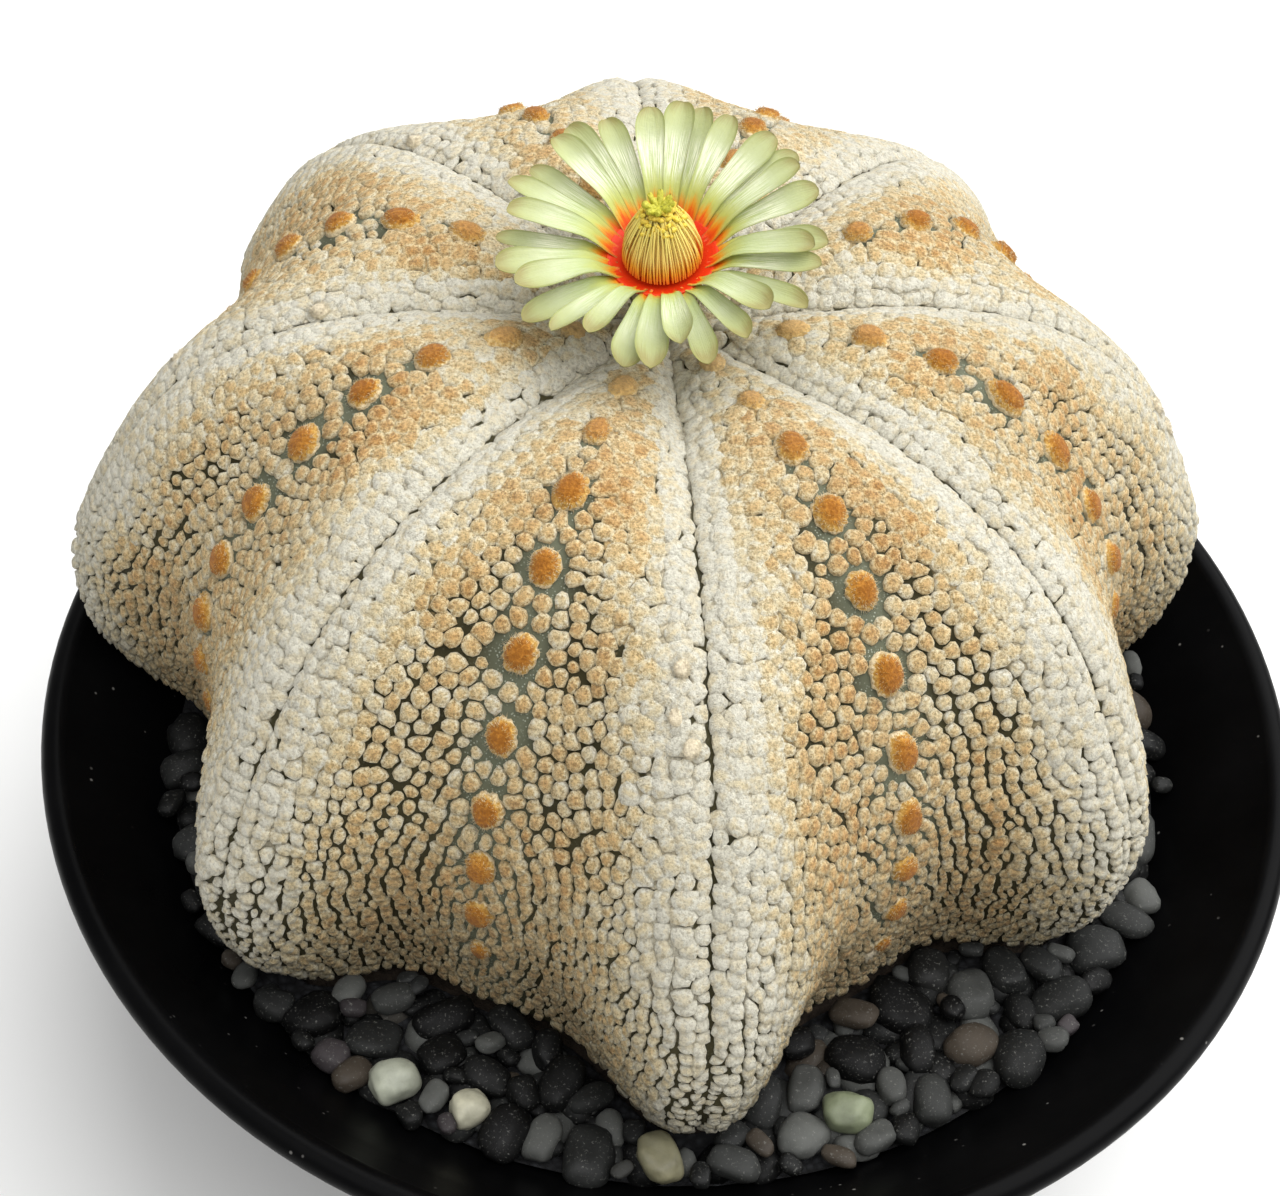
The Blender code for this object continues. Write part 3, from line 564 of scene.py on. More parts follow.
def spread(rows, centres, areoles):
    """Evens out the flecks off the crests: each moves away from those too near, and from areoles."""
    s, k = rows[:, 2].copy(), rows[:, 3].copy()
    free = rows[:, 0] > 0
    step = 0.002
    places = skin(*areoles.T)
    for _ in range(SPREAD_ROUNDS):
        points = skin(s, k)
        offset = points[neighbours(points, 6)] - points[:, None, :]
        apart = np.maximum(np.linalg.norm(offset, axis=2), 0.1 * MM)
        lack = np.maximum(fleck_pitch(s)[:, None] - apart, 0)
        move = -(offset * (lack / apart * 0.35)[..., None]).sum(1)
        hits = [centres.find(point) for point in points]
        from_areole = points - places[[hit[1] for hit in hits]]
        distance = np.maximum([hit[2] for hit in hits], 0.1 * MM)
        too_near = np.maximum(areole_clearance(s) - distance, 0)
        move += from_areole * (too_near / distance)[:, None]
        inner, outer = np.clip(s - step, 0, 1), np.clip(s + step, 0, 1)
        down = (skin(outer, k) - skin(inner, k)) / (outer - inner)[:, None]
        round_plant = (skin(s, k + step) - skin(s, k - step)) / (2 * step)
        s = s + free * (move * down).sum(1) / (down ** 2).sum(1)
        k = k + free * (move * round_plant).sum(1) / (round_plant ** 2).sum(1)
        s = np.clip(s, FLECK_FIRST, FLECK_LAST)
    return np.column_stack([rows[:, :2], s, k, off_crest(k)])


def pair_draw(a, b):
    """A number from 0 to 1 that is the same for a pair of flecks whichever comes first."""
    low, high = np.minimum(a, b), np.maximum(a, b)
    return np.abs(np.sin(low * 12.9898 + high * 78.233) * 43758.5453) % 1


def crest_cover(s, u):
    """How closely the felt covers the skin: 1 on the crests and the crown, 0 in the grooves."""
    start = 0.95 - 0.78 * smoothstep(0.08, 0.56, s)
    return (1 - smoothstep(start, start + 0.36, u)) * (1 - 0.95 * smoothstep(0.5, 0.85, s))


def felt_tones(points, s, u, draw):
    """How warm and how grey the felt is at each place: the rear arms are whiter as painted light, where
    the light falls brighter; the low ends are greyer and darker, partly the felt's own grey-green tint and
    partly painted shade.

    Draw is a number from -1 to 1 for each place.
    """
    edge = 0.25 - 0.12 * smoothstep(0.12, 0.4, s) - 0.06 * smoothstep(0.55, 0.8, s)
    band = smoothstep(0, 0.42, u - edge + 0.12 * field(points, 60, 9.0))
    upper = smoothstep(0.1, 0.26, s) * (1 - smoothstep(0.5, 0.8, s))
    patch = smoothstep(-0.1, 0.42, field(points, 85))
    base = 0.15 + 0.17 * smoothstep(0.1, 0.3, s) + 0.05 * upper + 0.16 * smoothstep(*LOW_END, s)
    warmth = band * (base + 0.24 * patch * (0.4 + 0.6 * upper) + 0.17 * draw)
    warmth = warmth + 0.08 * (1 - band) * np.maximum(patch, draw) * smoothstep(0.1, 0.5, s)
    # Painted light: the felt on the rear arms is drawn whiter, as the light falls brighter there
    warmth = warmth * (1 - 0.45 * smoothstep(20 * MM, 70 * MM, points[:, 1]))
    # The low ends are greyer and darker, partly the felt's own grey-green tint and partly painted shade
    # where the arms turn down
    grey = 0.1 + 0.4 * smoothstep(0.5, 0.9, s) + 0.4 * smoothstep(0.8, 1, s)
    grey = grey + 0.3 * field(points, 70, 5.0)
    return np.clip(warmth, 0, 1), np.clip(grey, 0, 1)


def fleck_reaches(rng, rows, points, along, across):
    """How far each pad reaches towards its neighbours and the seam, and in which directions."""
    row, half, s, k, u = rows.T
    count = len(rows)
    near = neighbours(points, 9)
    offset = points[near] - points[:, None, :]
    x = (offset * along[:, None, :]).sum(2)
    y = (offset * across[:, None, :]).sum(2)

    low = smoothstep(0.4, 0.75, s)[:, None]
    cover = crest_cover(s, u)
    size = rng.uniform(0.7, 1.3, count)
    share = size[:, None] / (size[:, None] + size[near])
    gap = GROOVE_GAP + (CREST_GAP - GROOVE_GAP) * (cover[:, None] + cover[near]) / 2
    gap = gap + LOW_GAP * smoothstep(0.55, 0.9, s)[:, None]
    same_row = (row[:, None] == row[near]) & (half[:, None] == half[near])
    notched = ((row < 2) * smoothstep(*LOW_END, s))[:, None]
    beside_seam = row[:, None] + row[near] < 2
    gap = np.where(same_row, gap + NOTCH * notched, gap + ROW_FISSURE * low * (1 - 2 * beside_seam))
    draw = pair_draw(np.arange(count)[:, None], near)
    along_row = (0.5 + 0.36 * np.maximum(low, cover[:, None])) * (1 - notched)
    fused = draw < np.where(same_row, along_row, 0.2 - 0.1 * low)
    gap = np.where(fused, -FUSED_OVERLAP, gap)
    gap = np.where(draw > 1 - CRACKED_SHARE, np.maximum(gap, CRACK), gap)
    reach = np.hypot(x, y) * share - gap / 2

    low = low[:, 0]
    crest = skin(s, np.round(k))
    side = np.sign(k - np.round(k))
    to_seam = np.linalg.norm(points - felted(s, np.round(k)), axis=1)
    wander = side * SEAM_WANDER * field(crest, 260, 17.0) * smoothstep(0.1, 0.5, s) * (1 + low)
    opening = SEAM_GAP[0] + (SEAM_GAP[1] - SEAM_GAP[0]) * low
    opening = opening * (1 + 1.6 * field(crest, 330, 23.0))
    opening = opening + low * rng.uniform(-1, 1, count) * SEAM_FRAY
    seam_reach = np.where(row < 1, to_seam - wander - opening / 2, 1.0)
    toward = np.column_stack([np.arctan2(y, x), -side * np.pi / 2])
    return np.column_stack([reach, seam_reach]), toward


def felt_flecks(rng, areoles, mat):
    """Raised felt pads: each fills its share of the space between its neighbours.

    Near the crest the pads are large and run together. Towards the groove they stand apart on bare
    skin, and many are fused into ropes along their row.
    """
    rows = kept_flecks(rng, areoles)
    _, _, s, k, u = rows.T
    points = felted(s, k)
    along, across, out = directions(felted, s, k)
    count = len(rows)
    reach, toward = fleck_reaches(rng, rows, points, along, across)

    cover = crest_cover(s, u)
    largest = rng.uniform(*GROOVE_RADIUS, count)
    largest = largest + (CREST_RADIUS - largest) * cover
    largest = np.where((rng.random(count) < SMALL_SHARE) & (cover < 0.3), SMALL_RADIUS, largest)
    angles = even_angles(FLECK_SIDES)
    slant = np.cos(angles[None, :, None] - toward[:, None, :])
    border = np.where(slant > 0.15, reach[:, None, :] / np.maximum(slant, 0.15), 1)
    crowd = (np.maximum(border, 0.2 * MM) / MM) ** -FLECK_CORNERS
    crowd = crowd.sum(2) + ((largest / MM) ** -FLECK_CORNERS)[:, None]
    radii = crowd ** (-1 / FLECK_CORNERS) * MM
    lobes = 0.05 * np.sin(2 * angles + rng.uniform(0, 6, (count, 1)))
    lobes = lobes + 0.05 * np.sin(3 * angles + rng.uniform(0, 6, (count, 1)))
    radii *= 1 + lobes + rng.uniform(-0.1, 0.1, radii.shape)

    height = GROOVE_HEIGHT + (CREST_HEIGHT - GROOVE_HEIGHT) * cover
    height = height * rng.uniform(0.8, 1.2, count) * np.clip(radii.mean(1) / MM, 0.55, 1.15)
    base = points + out * (CREST_LINING * cover)[:, None]
    rays = np.cos(angles)[:, None] * along[:, None, :] + np.sin(angles)[:, None] * across[:, None, :]
    tilt = LOW_TILT * smoothstep(0.55, 0.85, s)[:, None] * np.cos(angles)
    layers = []
    for grow, lift in FLECK_RINGS:
        ring = base[:, None, :] + rays * (radii * grow)[..., None]
        uneven = lift * (1 + tilt * (lift > 0)) + rng.uniform(-0.07, 0.07, radii.shape)
        layers.append(ring + out[:, None, :] * (height[:, None] * uneven)[..., None])
    layers.append((base + out * height[:, None])[:, None, :])
    verts = np.concatenate(layers, axis=1)

    warmth, grey = felt_tones(points, s, u, rng.uniform(-1, 1, count))
    rim = np.tile(np.repeat([*FLECK_RIM_AND_SHADE, 0.0], [FLECK_SIDES] * len(FLECK_RIM_AND_SHADE) + [1]), (count, 1))
    # The outer ring's painted shade on the side wall fades out where the felt closes up on the crests
    rim[:, :FLECK_SIDES] -= 0.08 * cover[:, None]
    values = np.stack(np.broadcast_arrays(warmth[:, None], rim, grey[:, None]), -1)

    quads = ring_faces(len(FLECK_RINGS), FLECK_SIDES)[:, ::-1]
    middle = len(FLECK_RINGS) * FLECK_SIDES
    tops = np.array(fan(middle - FLECK_SIDES, FLECK_SIDES, middle))
    for arm in range(ARMS):
        chosen = np.nonzero(np.round(k).astype(int) % ARMS == arm)[0]
        first = np.arange(len(chosen))[:, None, None] * (middle + 1)
        faces = (quads + first).reshape(-1, 4).tolist() + (tops + first).reshape(-1, 3).tolist()
        make_piece(f"felt_arm_{arm + 1}", verts[chosen].reshape(-1, 3), faces, mat, (),
                   ("felt", values[chosen]))


def wool_colour(look, warm, grey):
    """Colour of felt from how warm and how grey it is."""
    colour = look.ramp(
        warm,
        (0.0, (0.87, 0.84, 0.71)),
        (0.2, (0.85, 0.73, 0.47)),
        (0.42, (0.79, 0.58, 0.28)),
        (0.75, (0.69, 0.42, 0.16)),
        (1.0, (0.58, 0.29, 0.07)),
    )
    # The grey mix also darkens the felt; low on the arms this stands partly for painted shade
    return look.mix(look.times(grey, 0.45), colour, (0.48, 0.43, 0.28))


def felt_material():
    """Woolly felt: white at the crests, orange towards the grooves, paler at each pad's rim (partly the
    wool's fringe, partly painted sheen), with painted shade on each pad's side wall.
    """
    look = Look("felt", {
        "Roughness": 0.95, "Sheen Weight": 0.15, "Sheen Roughness": 0.5, "Specular IOR Level": 0.1})
    warmth, rim, grey = look.channels("felt")
    wool = look.noise(2400, 4, 0.8)
    fringe_and_sheen = look.plus(rim, look.span(wool, 0.35, 0.65, -0.25, 0.25))
    # Paler towards each pad's rim: partly the wool's own pale fringe and partly painted sheen
    warm = look.times(warmth, look.span(fringe_and_sheen, 0.2, 0.9, 1.35, 0.45))
    warm = look.plus(warm, look.span(look.noise(800), 0.35, 0.65, -0.09, 0.09), clamp=True)
    colour = wool_colour(look, warm, grey)
    grain = look.ramp(
        wool,
        (0.38, (0.42, 0.37, 0.28)),
        (0.48, (0.92, 0.9, 0.86)),
        (0.6, (1.28, 1.28, 1.28)),
    )
    colour = look.mix(look.span(warmth, 0.0, 0.3, 0.5, 0.8), colour, grain, "MULTIPLY")
    # Painted shade: each pad's side wall drawn in a darker warm brown
    colour = look.mix(look.span(rim, 0.93, 1.0), colour, (0.68, 0.56, 0.34), "MULTIPLY")
    return look.finish(colour, wool, 0.75 * MM)


# Skin

def plant_skin(mat):
    """The plant's own skin under the felt, with its tucked neck and tap root, as one closed body."""
    rows = np.linspace(0.004, 1, SKIN_ROWS)
    within = np.linspace(-1, 1, SKIN_STEPS_PER_ARM, endpoint=False)
    within = np.sign(within) * np.abs(within) ** 1.5 / 2
    steps = np.concatenate([arm + within for arm in range(ARMS)])
    s, k = np.broadcast_arrays(rows[:, None], steps[None, :])
    u = off_crest(k)
    cover = crest_cover(s, u)
    grid = felted(s, k) + directions(felted, s, k)[2] * (CREST_LINING * cover * (s < 0.97))[..., None]
    warmth = felt_tones(grid.reshape(-1, 3), s.ravel(), u.ravel(), np.zeros(s.size))[0]
    to_crest = np.linalg.norm(grid - felted(s, np.round(k)), axis=-1)
    shown = cover * (1 - (1 - smoothstep(0.3 * MM, 0.9 * MM, to_crest)) * smoothstep(0.05, 0.4, s))
    values = np.column_stack([shown.ravel(), warmth, smoothstep(0.72, 0.95, u).ravel()])
    axis = np.array([*PLANT_AXIS, 0])
    arm = (grid[-1] - axis) * (1, 1, 0)
    rings = [*grid, axis + arm * TUCK + (0, 0, BED_BOTTOM)]
    for radius, z in ((ROOT_TOP_RADIUS, BED_BOTTOM), (ROOT_END_RADIUS, ROOT_END)):
        rings.append(axis + unit(arm) * radius + (0, 0, z))
    sides = len(steps)
    count = len(rings) * sides
    ends = [skin(0.0, 0.0), axis + (0, 0, ROOT_END - 2 * MM)]
    verts = np.vstack([*rings, *ends])
    faces = ring_faces(len(rings), sides)[:, ::-1].tolist()
    faces += [face[::-1] for face in fan(0, sides, count)]
    faces += fan(count - sides, sides, count + 1)
    below = np.zeros((len(verts) - len(values), 3))
    make_piece("cactus_skin", verts, faces, mat, ["cactus_body"],
               ("cover", np.vstack([values, below])))


def skin_material():
    """Dark green-grey skin, dusted with white dots in the grooves and lined with wool on the crests."""
    look = Look("bare_skin", {"Roughness": 0.75, "Specular IOR Level": 0.2})
    cover, warmth, groove = look.channels("cover")
    colour = look.ramp(look.noise(160), (0.3, (0.023, 0.02, 0.007)), (0.7, (0.05, 0.043, 0.017)))
    colour = look.mix(groove, colour, (0.125, 0.135, 0.09))
    dot = look.span(look.cells(2600), 0.16, 0.36, 1, 0)
    dot = look.times(dot, look.span(look.noise(700, 1), 0.38, 0.6, 0.2, 1))
    dot = look.times(dot, look.span(groove, 0, 1, 0.08, 1))
    colour = look.mix(dot, colour, (0.42, 0.45, 0.36))
    wool = look.noise(2300, 4, 0.7)
    lined = look.times(look.span(cover, 0.3, 0.75), look.span(look.noise(420, 2), 0.42, 0.5))
    grain = look.ramp(wool, (0.36, (0.2, 0.18, 0.15)), (0.62, (0.75, 0.73, 0.7)))
    lining = look.mix(0.9, wool_colour(look, warmth, 0.3), grain, "MULTIPLY")
    return look.finish(look.mix(lined, colour, lining), look.plus(dot, wool), 0.12 * MM, 0.8)


# Areoles

def areole_sizes(areoles):
    """Areoles are small at the crown and again low on the arms."""
    s = areoles[:, 0]
    return (1 - 0.32 * smoothstep(0.7, 0.92, s)) * (0.8 + 0.2 * smoothstep(0.12, 0.3, s))


def woolly_domes(rng, name, places, sizes, ages, mat):
    """Domes of dense brown felt with a pale frayed edge and loose fibres; age 1 is faded to tan."""
    s, k = places.T
    along, across, out = directions(skin, s, k)
    centre = skin(s, k) + out * (CREST_LINING * crest_cover(s, np.ones(len(s))))[:, None]
    angles = even_angles(AREOLE_SIDES)
    corners = even_angles(3)
    dome_faces = ring_faces(len(AREOLE_RINGS), AREOLE_SIDES)[:, ::-1].tolist()
    top = len(AREOLE_RINGS) * AREOLE_SIDES
    dome_faces += fan(top - AREOLE_SIDES, AREOLE_SIDES, top)
    verts, faces, values = [], [], []
    for i, age in enumerate(ages):
        scale = sizes[i] * rng.uniform(0.92, 1.08)
        long = AREOLE_HALF_LENGTH * scale * rng.uniform(0.9, 1.12)
        wide = AREOLE_HALF_WIDTH * scale
        tall = AREOLE_HEIGHT * scale * rng.uniform(0.85, 1.1)
        wobble = 1 + 0.05 * np.sin(angles * 2 + rng.uniform(0, 6))
        wobble = wobble + 0.03 * np.sin(angles * 3 + rng.uniform(0, 6))
        faces += [[len(verts) + corner for corner in face] for face in dome_faces]
        for grow, lift in AREOLE_RINGS:
            fray = 1 + rng.uniform(-0.07, 0.07, AREOLE_SIDES) * (1.6 if lift < 0.4 else 0.5)
            radius = grow * wobble * fray
            ring = np.outer(np.cos(angles) * long * radius, along[i])
            ring = ring + np.outer(np.sin(angles) * wide * radius, across[i])
            verts += (centre[i] + ring + out[i] * tall * lift).tolist()
            values += [(1 - min(lift + 0.12 * rng.uniform(-1, 1), 1), age, rng.random())] * AREOLE_SIDES
        verts.append((centre[i] + out[i] * tall * 1.01).tolist())
        values.append((0, age, 0.5))
        for _ in range(AREOLE_FIBRES):
            turn = rng.uniform(0, 2 * np.pi)
            share = rng.uniform(0.15, 1) ** 0.5
            x, y = along[i] * math.cos(turn), across[i] * math.sin(turn)
            rise = tall * math.sqrt(max(0, 1 - share ** 2.6))
            root = centre[i] + (x * long + y * wide) * share * 0.98 + out[i] * (rise - 0.1 * MM)
            way = (x + y) * (0.3 + 0.7 * share) + out[i] * (1.0 - 0.8 * share) + rng.normal(0, 0.25, 3)
            tip = root + unit(way) * rng.uniform(*FIBRE_LENGTH) * MM
            side = unit(np.cross(way, x + y + (0.01, 0.02, 0.03)))
            other = unit(np.cross(way, side))
            foot = np.outer(np.cos(corners), side) + np.outer(np.sin(corners), other)
            first = len(verts)
            verts += (root + foot * FIBRE_RADIUS).tolist() + [tip.tolist()]
            values += [(share, age, rng.random()) for _ in range(3)]
            values.append((min(1, share + 0.25), age, rng.random()))
            faces += [[first + n, first + (n + 1) % 3, first + 3] for n in range(3)]
    make_piece(name, verts, faces, mat, (), ("tuft", values))


def areole_material():
    look = Look("areole_felt", {"Roughness": 0.95, "Sheen Weight": 0.12, "Specular IOR Level": 0.1})
    edge, age, _ = look.channels("tuft")
    wool = look.noise(2300, 4, 0.7)
    colour = look.ramp(
        look.plus(edge, look.span(wool, 0.3, 0.7, -0.14, 0.14), clamp=True),
        (0.0, (0.37, 0.138, 0.016)),
        (0.35, (0.53, 0.238, 0.038)),
        (0.6, (0.66, 0.4, 0.1)),
        (0.82, (0.86, 0.72, 0.46)),
    )
    faded = look.ramp(age, (0.7, (0.82, 0.6, 0.27)), (1.0, (0.84, 0.77, 0.58)))
    colour = look.mix(look.times(age, 0.9), colour, faded)
    grain = look.ramp(wool, (0.3, (0.5, 0.45, 0.4)), (0.7, (1.15, 1.15, 1.15)))
    return look.finish(look.mix(0.8, colour, grain, "MULTIPLY"), wool, 0.35 * MM)


# Bowl, soil and pebbles

def inner_wall(z):
    """Radius of the bowl's inside wall at height z."""
    t = (z - BOWL_FLOOR) / (BOWL_HEIGHT - BOWL_FLOOR)
    return FLOOR_RADIUS + (LIP_INNER_RADIUS - FLOOR_RADIUS) * max(t, 0) ** FLARE


def outer_wall(z):
    step = 0.1 * MM
    slope = (inner_wall(z + step) - inner_wall(z - step)) / (2 * step)
    scale = WALL / math.hypot(1, slope)
    return (inner_wall(z) + scale, z - slope * scale)


def arc(centre, radius, start, end, steps):
    """Points of a round stretch from one angle in degrees to another."""
    return centre + polar(radius, np.radians(np.linspace(start, end, steps + 1)))


def object_of(bm, name):
    mesh = bpy.data.meshes.new(name)
    bm.to_mesh(mesh)
    bm.free()
    return new_object(name, mesh)


def bowl(mat):
    """The bowl's profile turned round Z with a Screw modifier, less its drainage holes."""
    heights = np.linspace(BOWL_FLOOR + 2 * MM, WALL_TOP, WALL_STEPS + 1)
    inside = [(0, BOWL_FLOOR), (FLOOR_RADIUS - FLOOR_EDGE, BOWL_FLOOR)]
    inside += [(inner_wall(z), z) for z in heights]
    outside = [outer_wall(z) for z in heights[-2::-1]]
    foot = arc((outside[-1][0] - FOOT_ROUND, FOOT_ROUND), FOOT_ROUND, -10, -90, 7)
    lip = arc(LIP_CENTRE, LIP_BEAD, 150, -20, 16)
    outline = bmesh.new()
    points = [outline.verts.new((r, 0, z)) for r, z in (*inside, *lip, *outside, *foot, (0, 0))]
    for pair in zip(points, points[1:]):
        outline.edges.new(pair)
    turned = object_of(outline, "bowl")
    screw = turned.modifiers.new("turn", "SCREW")
    screw.steps = screw.render_steps = BOWL_STEPS
    screw.use_merge_vertices = screw.use_smooth_shade = True
    screw.merge_threshold = 0.01 * MM
    drills = []
    for i in range(DRAIN_HOLES):
        place = Matrix.Translation(polar(DRAIN_CIRCLE, 2 * math.pi * (i + 0.5) / DRAIN_HOLES, 0))
        drill = bmesh.new()
        bmesh.ops.create_cone(drill, cap_ends=True, segments=32, radius1=DRAIN_RADIUS,
                              radius2=DRAIN_RADIUS, depth=3 * BOWL_FLOOR, matrix=place)
        drills.append(object_of(drill, "drill"))
        turned.modifiers.new("drain", "BOOLEAN").object = drills[-1]
    depsgraph = bpy.context.evaluated_depsgraph_get()
    mesh = bpy.data.meshes.new_from_object(turned.evaluated_get(depsgraph))
    for used in (*drills, turned):
        bpy.data.objects.remove(used, do_unlink=True)
    mesh.materials.clear()
    mesh.materials.append(mat)
    mesh.shade_smooth()
    mesh.set_sharp_from_angle(angle=math.radians(40))
    place_piece(new_object("bowl", mesh), ["pot"])


def bowl_material():
    """Black satin finish with a little dust and lint."""
    look = Look("black_satin", {"Specular IOR Level": 0.15, "IOR": 1.25})
    cloud = look.noise(45, 5, 0.6)
    dust = look.span(look.cells(420), 0.05, 0.12, 1, 0)
    dust = look.times(dust, look.span(look.noise(90, 2), 0.5, 0.62))
    colour = look.ramp(cloud, (0.3, (0.0012, 0.0012, 0.0014)), (0.8, (0.0032, 0.0032, 0.0034)))
    colour = look.mix(look.times(dust, 0.6), colour, (0.3, 0.29, 0.27))
    return look.finish(colour, look.noise(500), 0.03 * MM, 0.5, look.span(cloud, 0.3, 0.7, 0.27, 0.42))


def soil_material():
    look = Look("crumbly_soil", {"Roughness": 0.97})
    crumb = look.noise(600, 5, 0.65)
    colour = look.ramp(crumb, (0.3, (0.012, 0.008, 0.005)), (0.7, (0.06, 0.042, 0.028)))
    return look.finish(colour, crumb, 0.8 * MM)


def around_plant(points):
    """Angle and reach of points in plan, seen from the plant's axis."""
    x, y = np.moveaxis(points[..., :2] - PLANT_AXIS, -1, 0)
    return np.arctan2(y, x), np.hypot(x, y)


def stone_layout(rng, fixed, closeness, wall_radius):
    """Throws stones, the long ones first, into the ring between plant and bowl wall.

    Each stone is a row of three circles in plan, which may overlap others a little.
    """
    foot = skin(FOOT_PLACE, np.linspace(0, ARMS, 720, endpoint=False))
    foot_angles, foot_reaches = around_plant(foot)
    circles = list(fixed)
    stones = []
    for half_length, most in STONE_SIZES:
        placed = 0
        for _ in range(STONE_THROWS):
            if placed >= most:
                break
            reach = wall_radius * math.sqrt(rng.random())
            middle = polar(reach, rng.uniform(0, 2 * math.pi))
            long = half_length * rng.uniform(0.92, 1.08) * MM
            wide = long * rng.uniform(0.58, 0.86)
            yaw = rng.uniform(0, math.pi)
            spots = middle + np.outer((-1, 0, 1), polar(long - wide, yaw))
            if np.hypot(*spots.T).max() > wall_radius - 0.85 * wide:
                continue
            angles, reaches = around_plant(spots)
            outside = reaches - np.interp(angles, foot_angles, foot_reaches, period=2 * np.pi)
            if outside.min() < 0.75 * wide:
                continue
            others = np.array(circles)
            apart = np.linalg.norm(spots[:, None, :] - others[:, :2], axis=-1)
            if (apart - wide - others[:, 2]).min() < -closeness:
                continue
            placed += 1
            stones.append((*middle, long, wide, yaw))
            circles += [(x, y, wide) for x, y in spots]
    return stones


def stone_mesh(rng, base, place, size, yaw, tilt):
    """A water-worn stone: a squared-off ellipsoid with soft dents."""
    seed = Vector(rng.uniform(0, 90, 3))
    dents = np.array([[noise.noise(Vector(v) * n + seed) for n in (0.9, 2.1)] for v in base]) @ (0.2, 0.08)
    body = np.sign(base) * np.abs(base) ** 0.8 * (1 + dents[:, None]) * size
    turn = Euler((*tilt, yaw)).to_matrix()
    return body @ np.array(turn).T + place


def icosphere(level):
    bm = bmesh.new()
    bmesh.ops.create_icosphere(bm, subdivisions=level, radius=1)
    verts = np.array([v.co for v in bm.verts])
    faces = np.array([[v.index for v in f.verts] for f in bm.faces])
    bm.free()
    return verts, faces


def pebbles(rng, mat):
    """Dark slate pebbles in two layers, and the four pale ones."""
    fixed = [np.array((*place, size[0])) * MM for place, size, _ in PALE_PEBBLES.values()]
    top = stone_layout(rng, fixed, STONE_OVERLAP, inner_wall(BED_LEVEL))
    # The lower layer keeps clear of no stone but a dot at the middle, under the plant
    under = stone_layout(rng, [(0, 0, MM)], 2 * STONE_OVERLAP, inner_wall(BED_LEVEL - UNDER_LAYER_DROP))
    for name, stones, drop, (verts, faces) in (
        ("pebbles_top", top, 0, icosphere(3)),
        ("pebbles_under", under, UNDER_LAYER_DROP, icosphere(2)),
    ):
        points, values = [], []
        for x, y, long, wide, yaw in stones:
            thick = min(wide * rng.uniform(0.62, 0.82), THICKEST_STONE)
            z = BED_LEVEL - drop + STONE_RISE - thick + rng.uniform(-0.5, 0.5) * MM
            tilt = rng.uniform(-STONE_TILT, STONE_TILT, 2)
            points.append(stone_mesh(rng, verts, (x, y, z), (long, wide, thick), yaw, tilt))
            values.append(np.tile(rng.random(3), (len(verts), 1)))
        first = np.arange(len(stones))[:, None, None] * len(verts)
        make_piece(name, np.concatenate(points), (faces + first).reshape(-1, 3), mat,
                   ["gravel"], ("stone", np.concatenate(values)))
    verts, faces = icosphere(4)
    for name, ((x, y), size, colour) in PALE_PEBBLES.items():
        place = (x * MM, y * MM, POCKET_FLOOR + (0.3 + size[2]) * MM)
        body = stone_mesh(rng, verts, place, np.array(size) * MM, x, (0.05, -0.08))
        node = "pebble_" + name
        make_piece(node + "_stone", body, faces, pale_material(node, colour), [node])


def slate_material():
    look = Look("slate", {"Specular IOR Level": 0.2})
    tone, hue, _ = look.channels("stone")
    cloud = look.noise(300, 4, 0.6)
    grain = look.noise(2600, 3, 0.7)
    colour = look.ramp(
        tone,
        (0.0, (0.003, 0.003, 0.003)),
        (0.4, (0.007, 0.0073, 0.007)),
        (0.75, (0.024, 0.025, 0.024)),
        (1.0, (0.11, 0.113, 0.105)),
    )
    colour = look.mix(look.span(hue, 0.93, 0.96), colour, (0.06, 0.048, 0.036))
    colour = look.mix(look.span(hue, 0.04, 0.02), colour, (0.05, 0.043, 0.045))
    shade = look.ramp(cloud, (0.25, (0.45, 0.45, 0.45)), (0.8, (1.25, 1.25, 1.25)))
    colour = look.mix(0.6, colour, shade, "MULTIPLY")
    colour = look.mix(look.times(look.span(grain, 0.58, 0.74), 0.4), colour, (0.34, 0.34, 0.31))
    return look.finish(colour, grain, 0.05 * MM, 0.6, look.span(cloud, 0.3, 0.7, 0.45, 0.7))


def pale_material(name, tint):
    look = Look(name + "_finish", {"Roughness": 0.5})
    colour = look.ramp(look.noise(260, 4, 0.6), (0.3, tuple(c * 0.55 for c in tint)), (0.65, tint))
    return look.finish(colour, look.noise(2200), 0.05 * MM, 0.6)


def grit_material():
    look = Look("grit", {"Roughness": 0.9})
    grains = look.cells(900)
    colour = look.ramp(grains, (0.0, (0.03, 0.032, 0.036)), (0.6, (0.004, 0.004, 0.005)))
    return look.finish(colour, grains, -0.6 * MM)


def grit_bed(mat):
    """The dark grit between the stones, a closed ring of low relief."""
    foot = skin(1.0, np.linspace(0, ARMS, GRIT_STEPS, endpoint=False))[:, :2]
    inner = foot + unit(foot - PLANT_AXIS) * 0.5 * MM
    outward = unit(inner)
    outer = outward * (inner_wall(GRIT_LEVEL) - GRIT_CLEARANCE)
    rings = []
    for lane in range(GRIT_LANES + 1):
        plan = inner + (outer - inner) * lane / GRIT_LANES
        relief = field(np.column_stack([plan, np.zeros(GRIT_STEPS)]), 420) * GRIT_RELIEF
        rings.append(np.column_stack([plan, GRIT_LEVEL + relief]))
    for plan in (outward * (inner_wall(BED_BOTTOM) - GRIT_CLEARANCE), inner):
        rings.append(np.column_stack([plan, np.full(GRIT_STEPS, BED_BOTTOM)]))
    faces = ring_faces(len(rings) + 1, GRIT_STEPS) % (len(rings) * GRIT_STEPS)
    make_piece("grit", np.concatenate(rings), faces, mat, ["gravel"])


# Flower

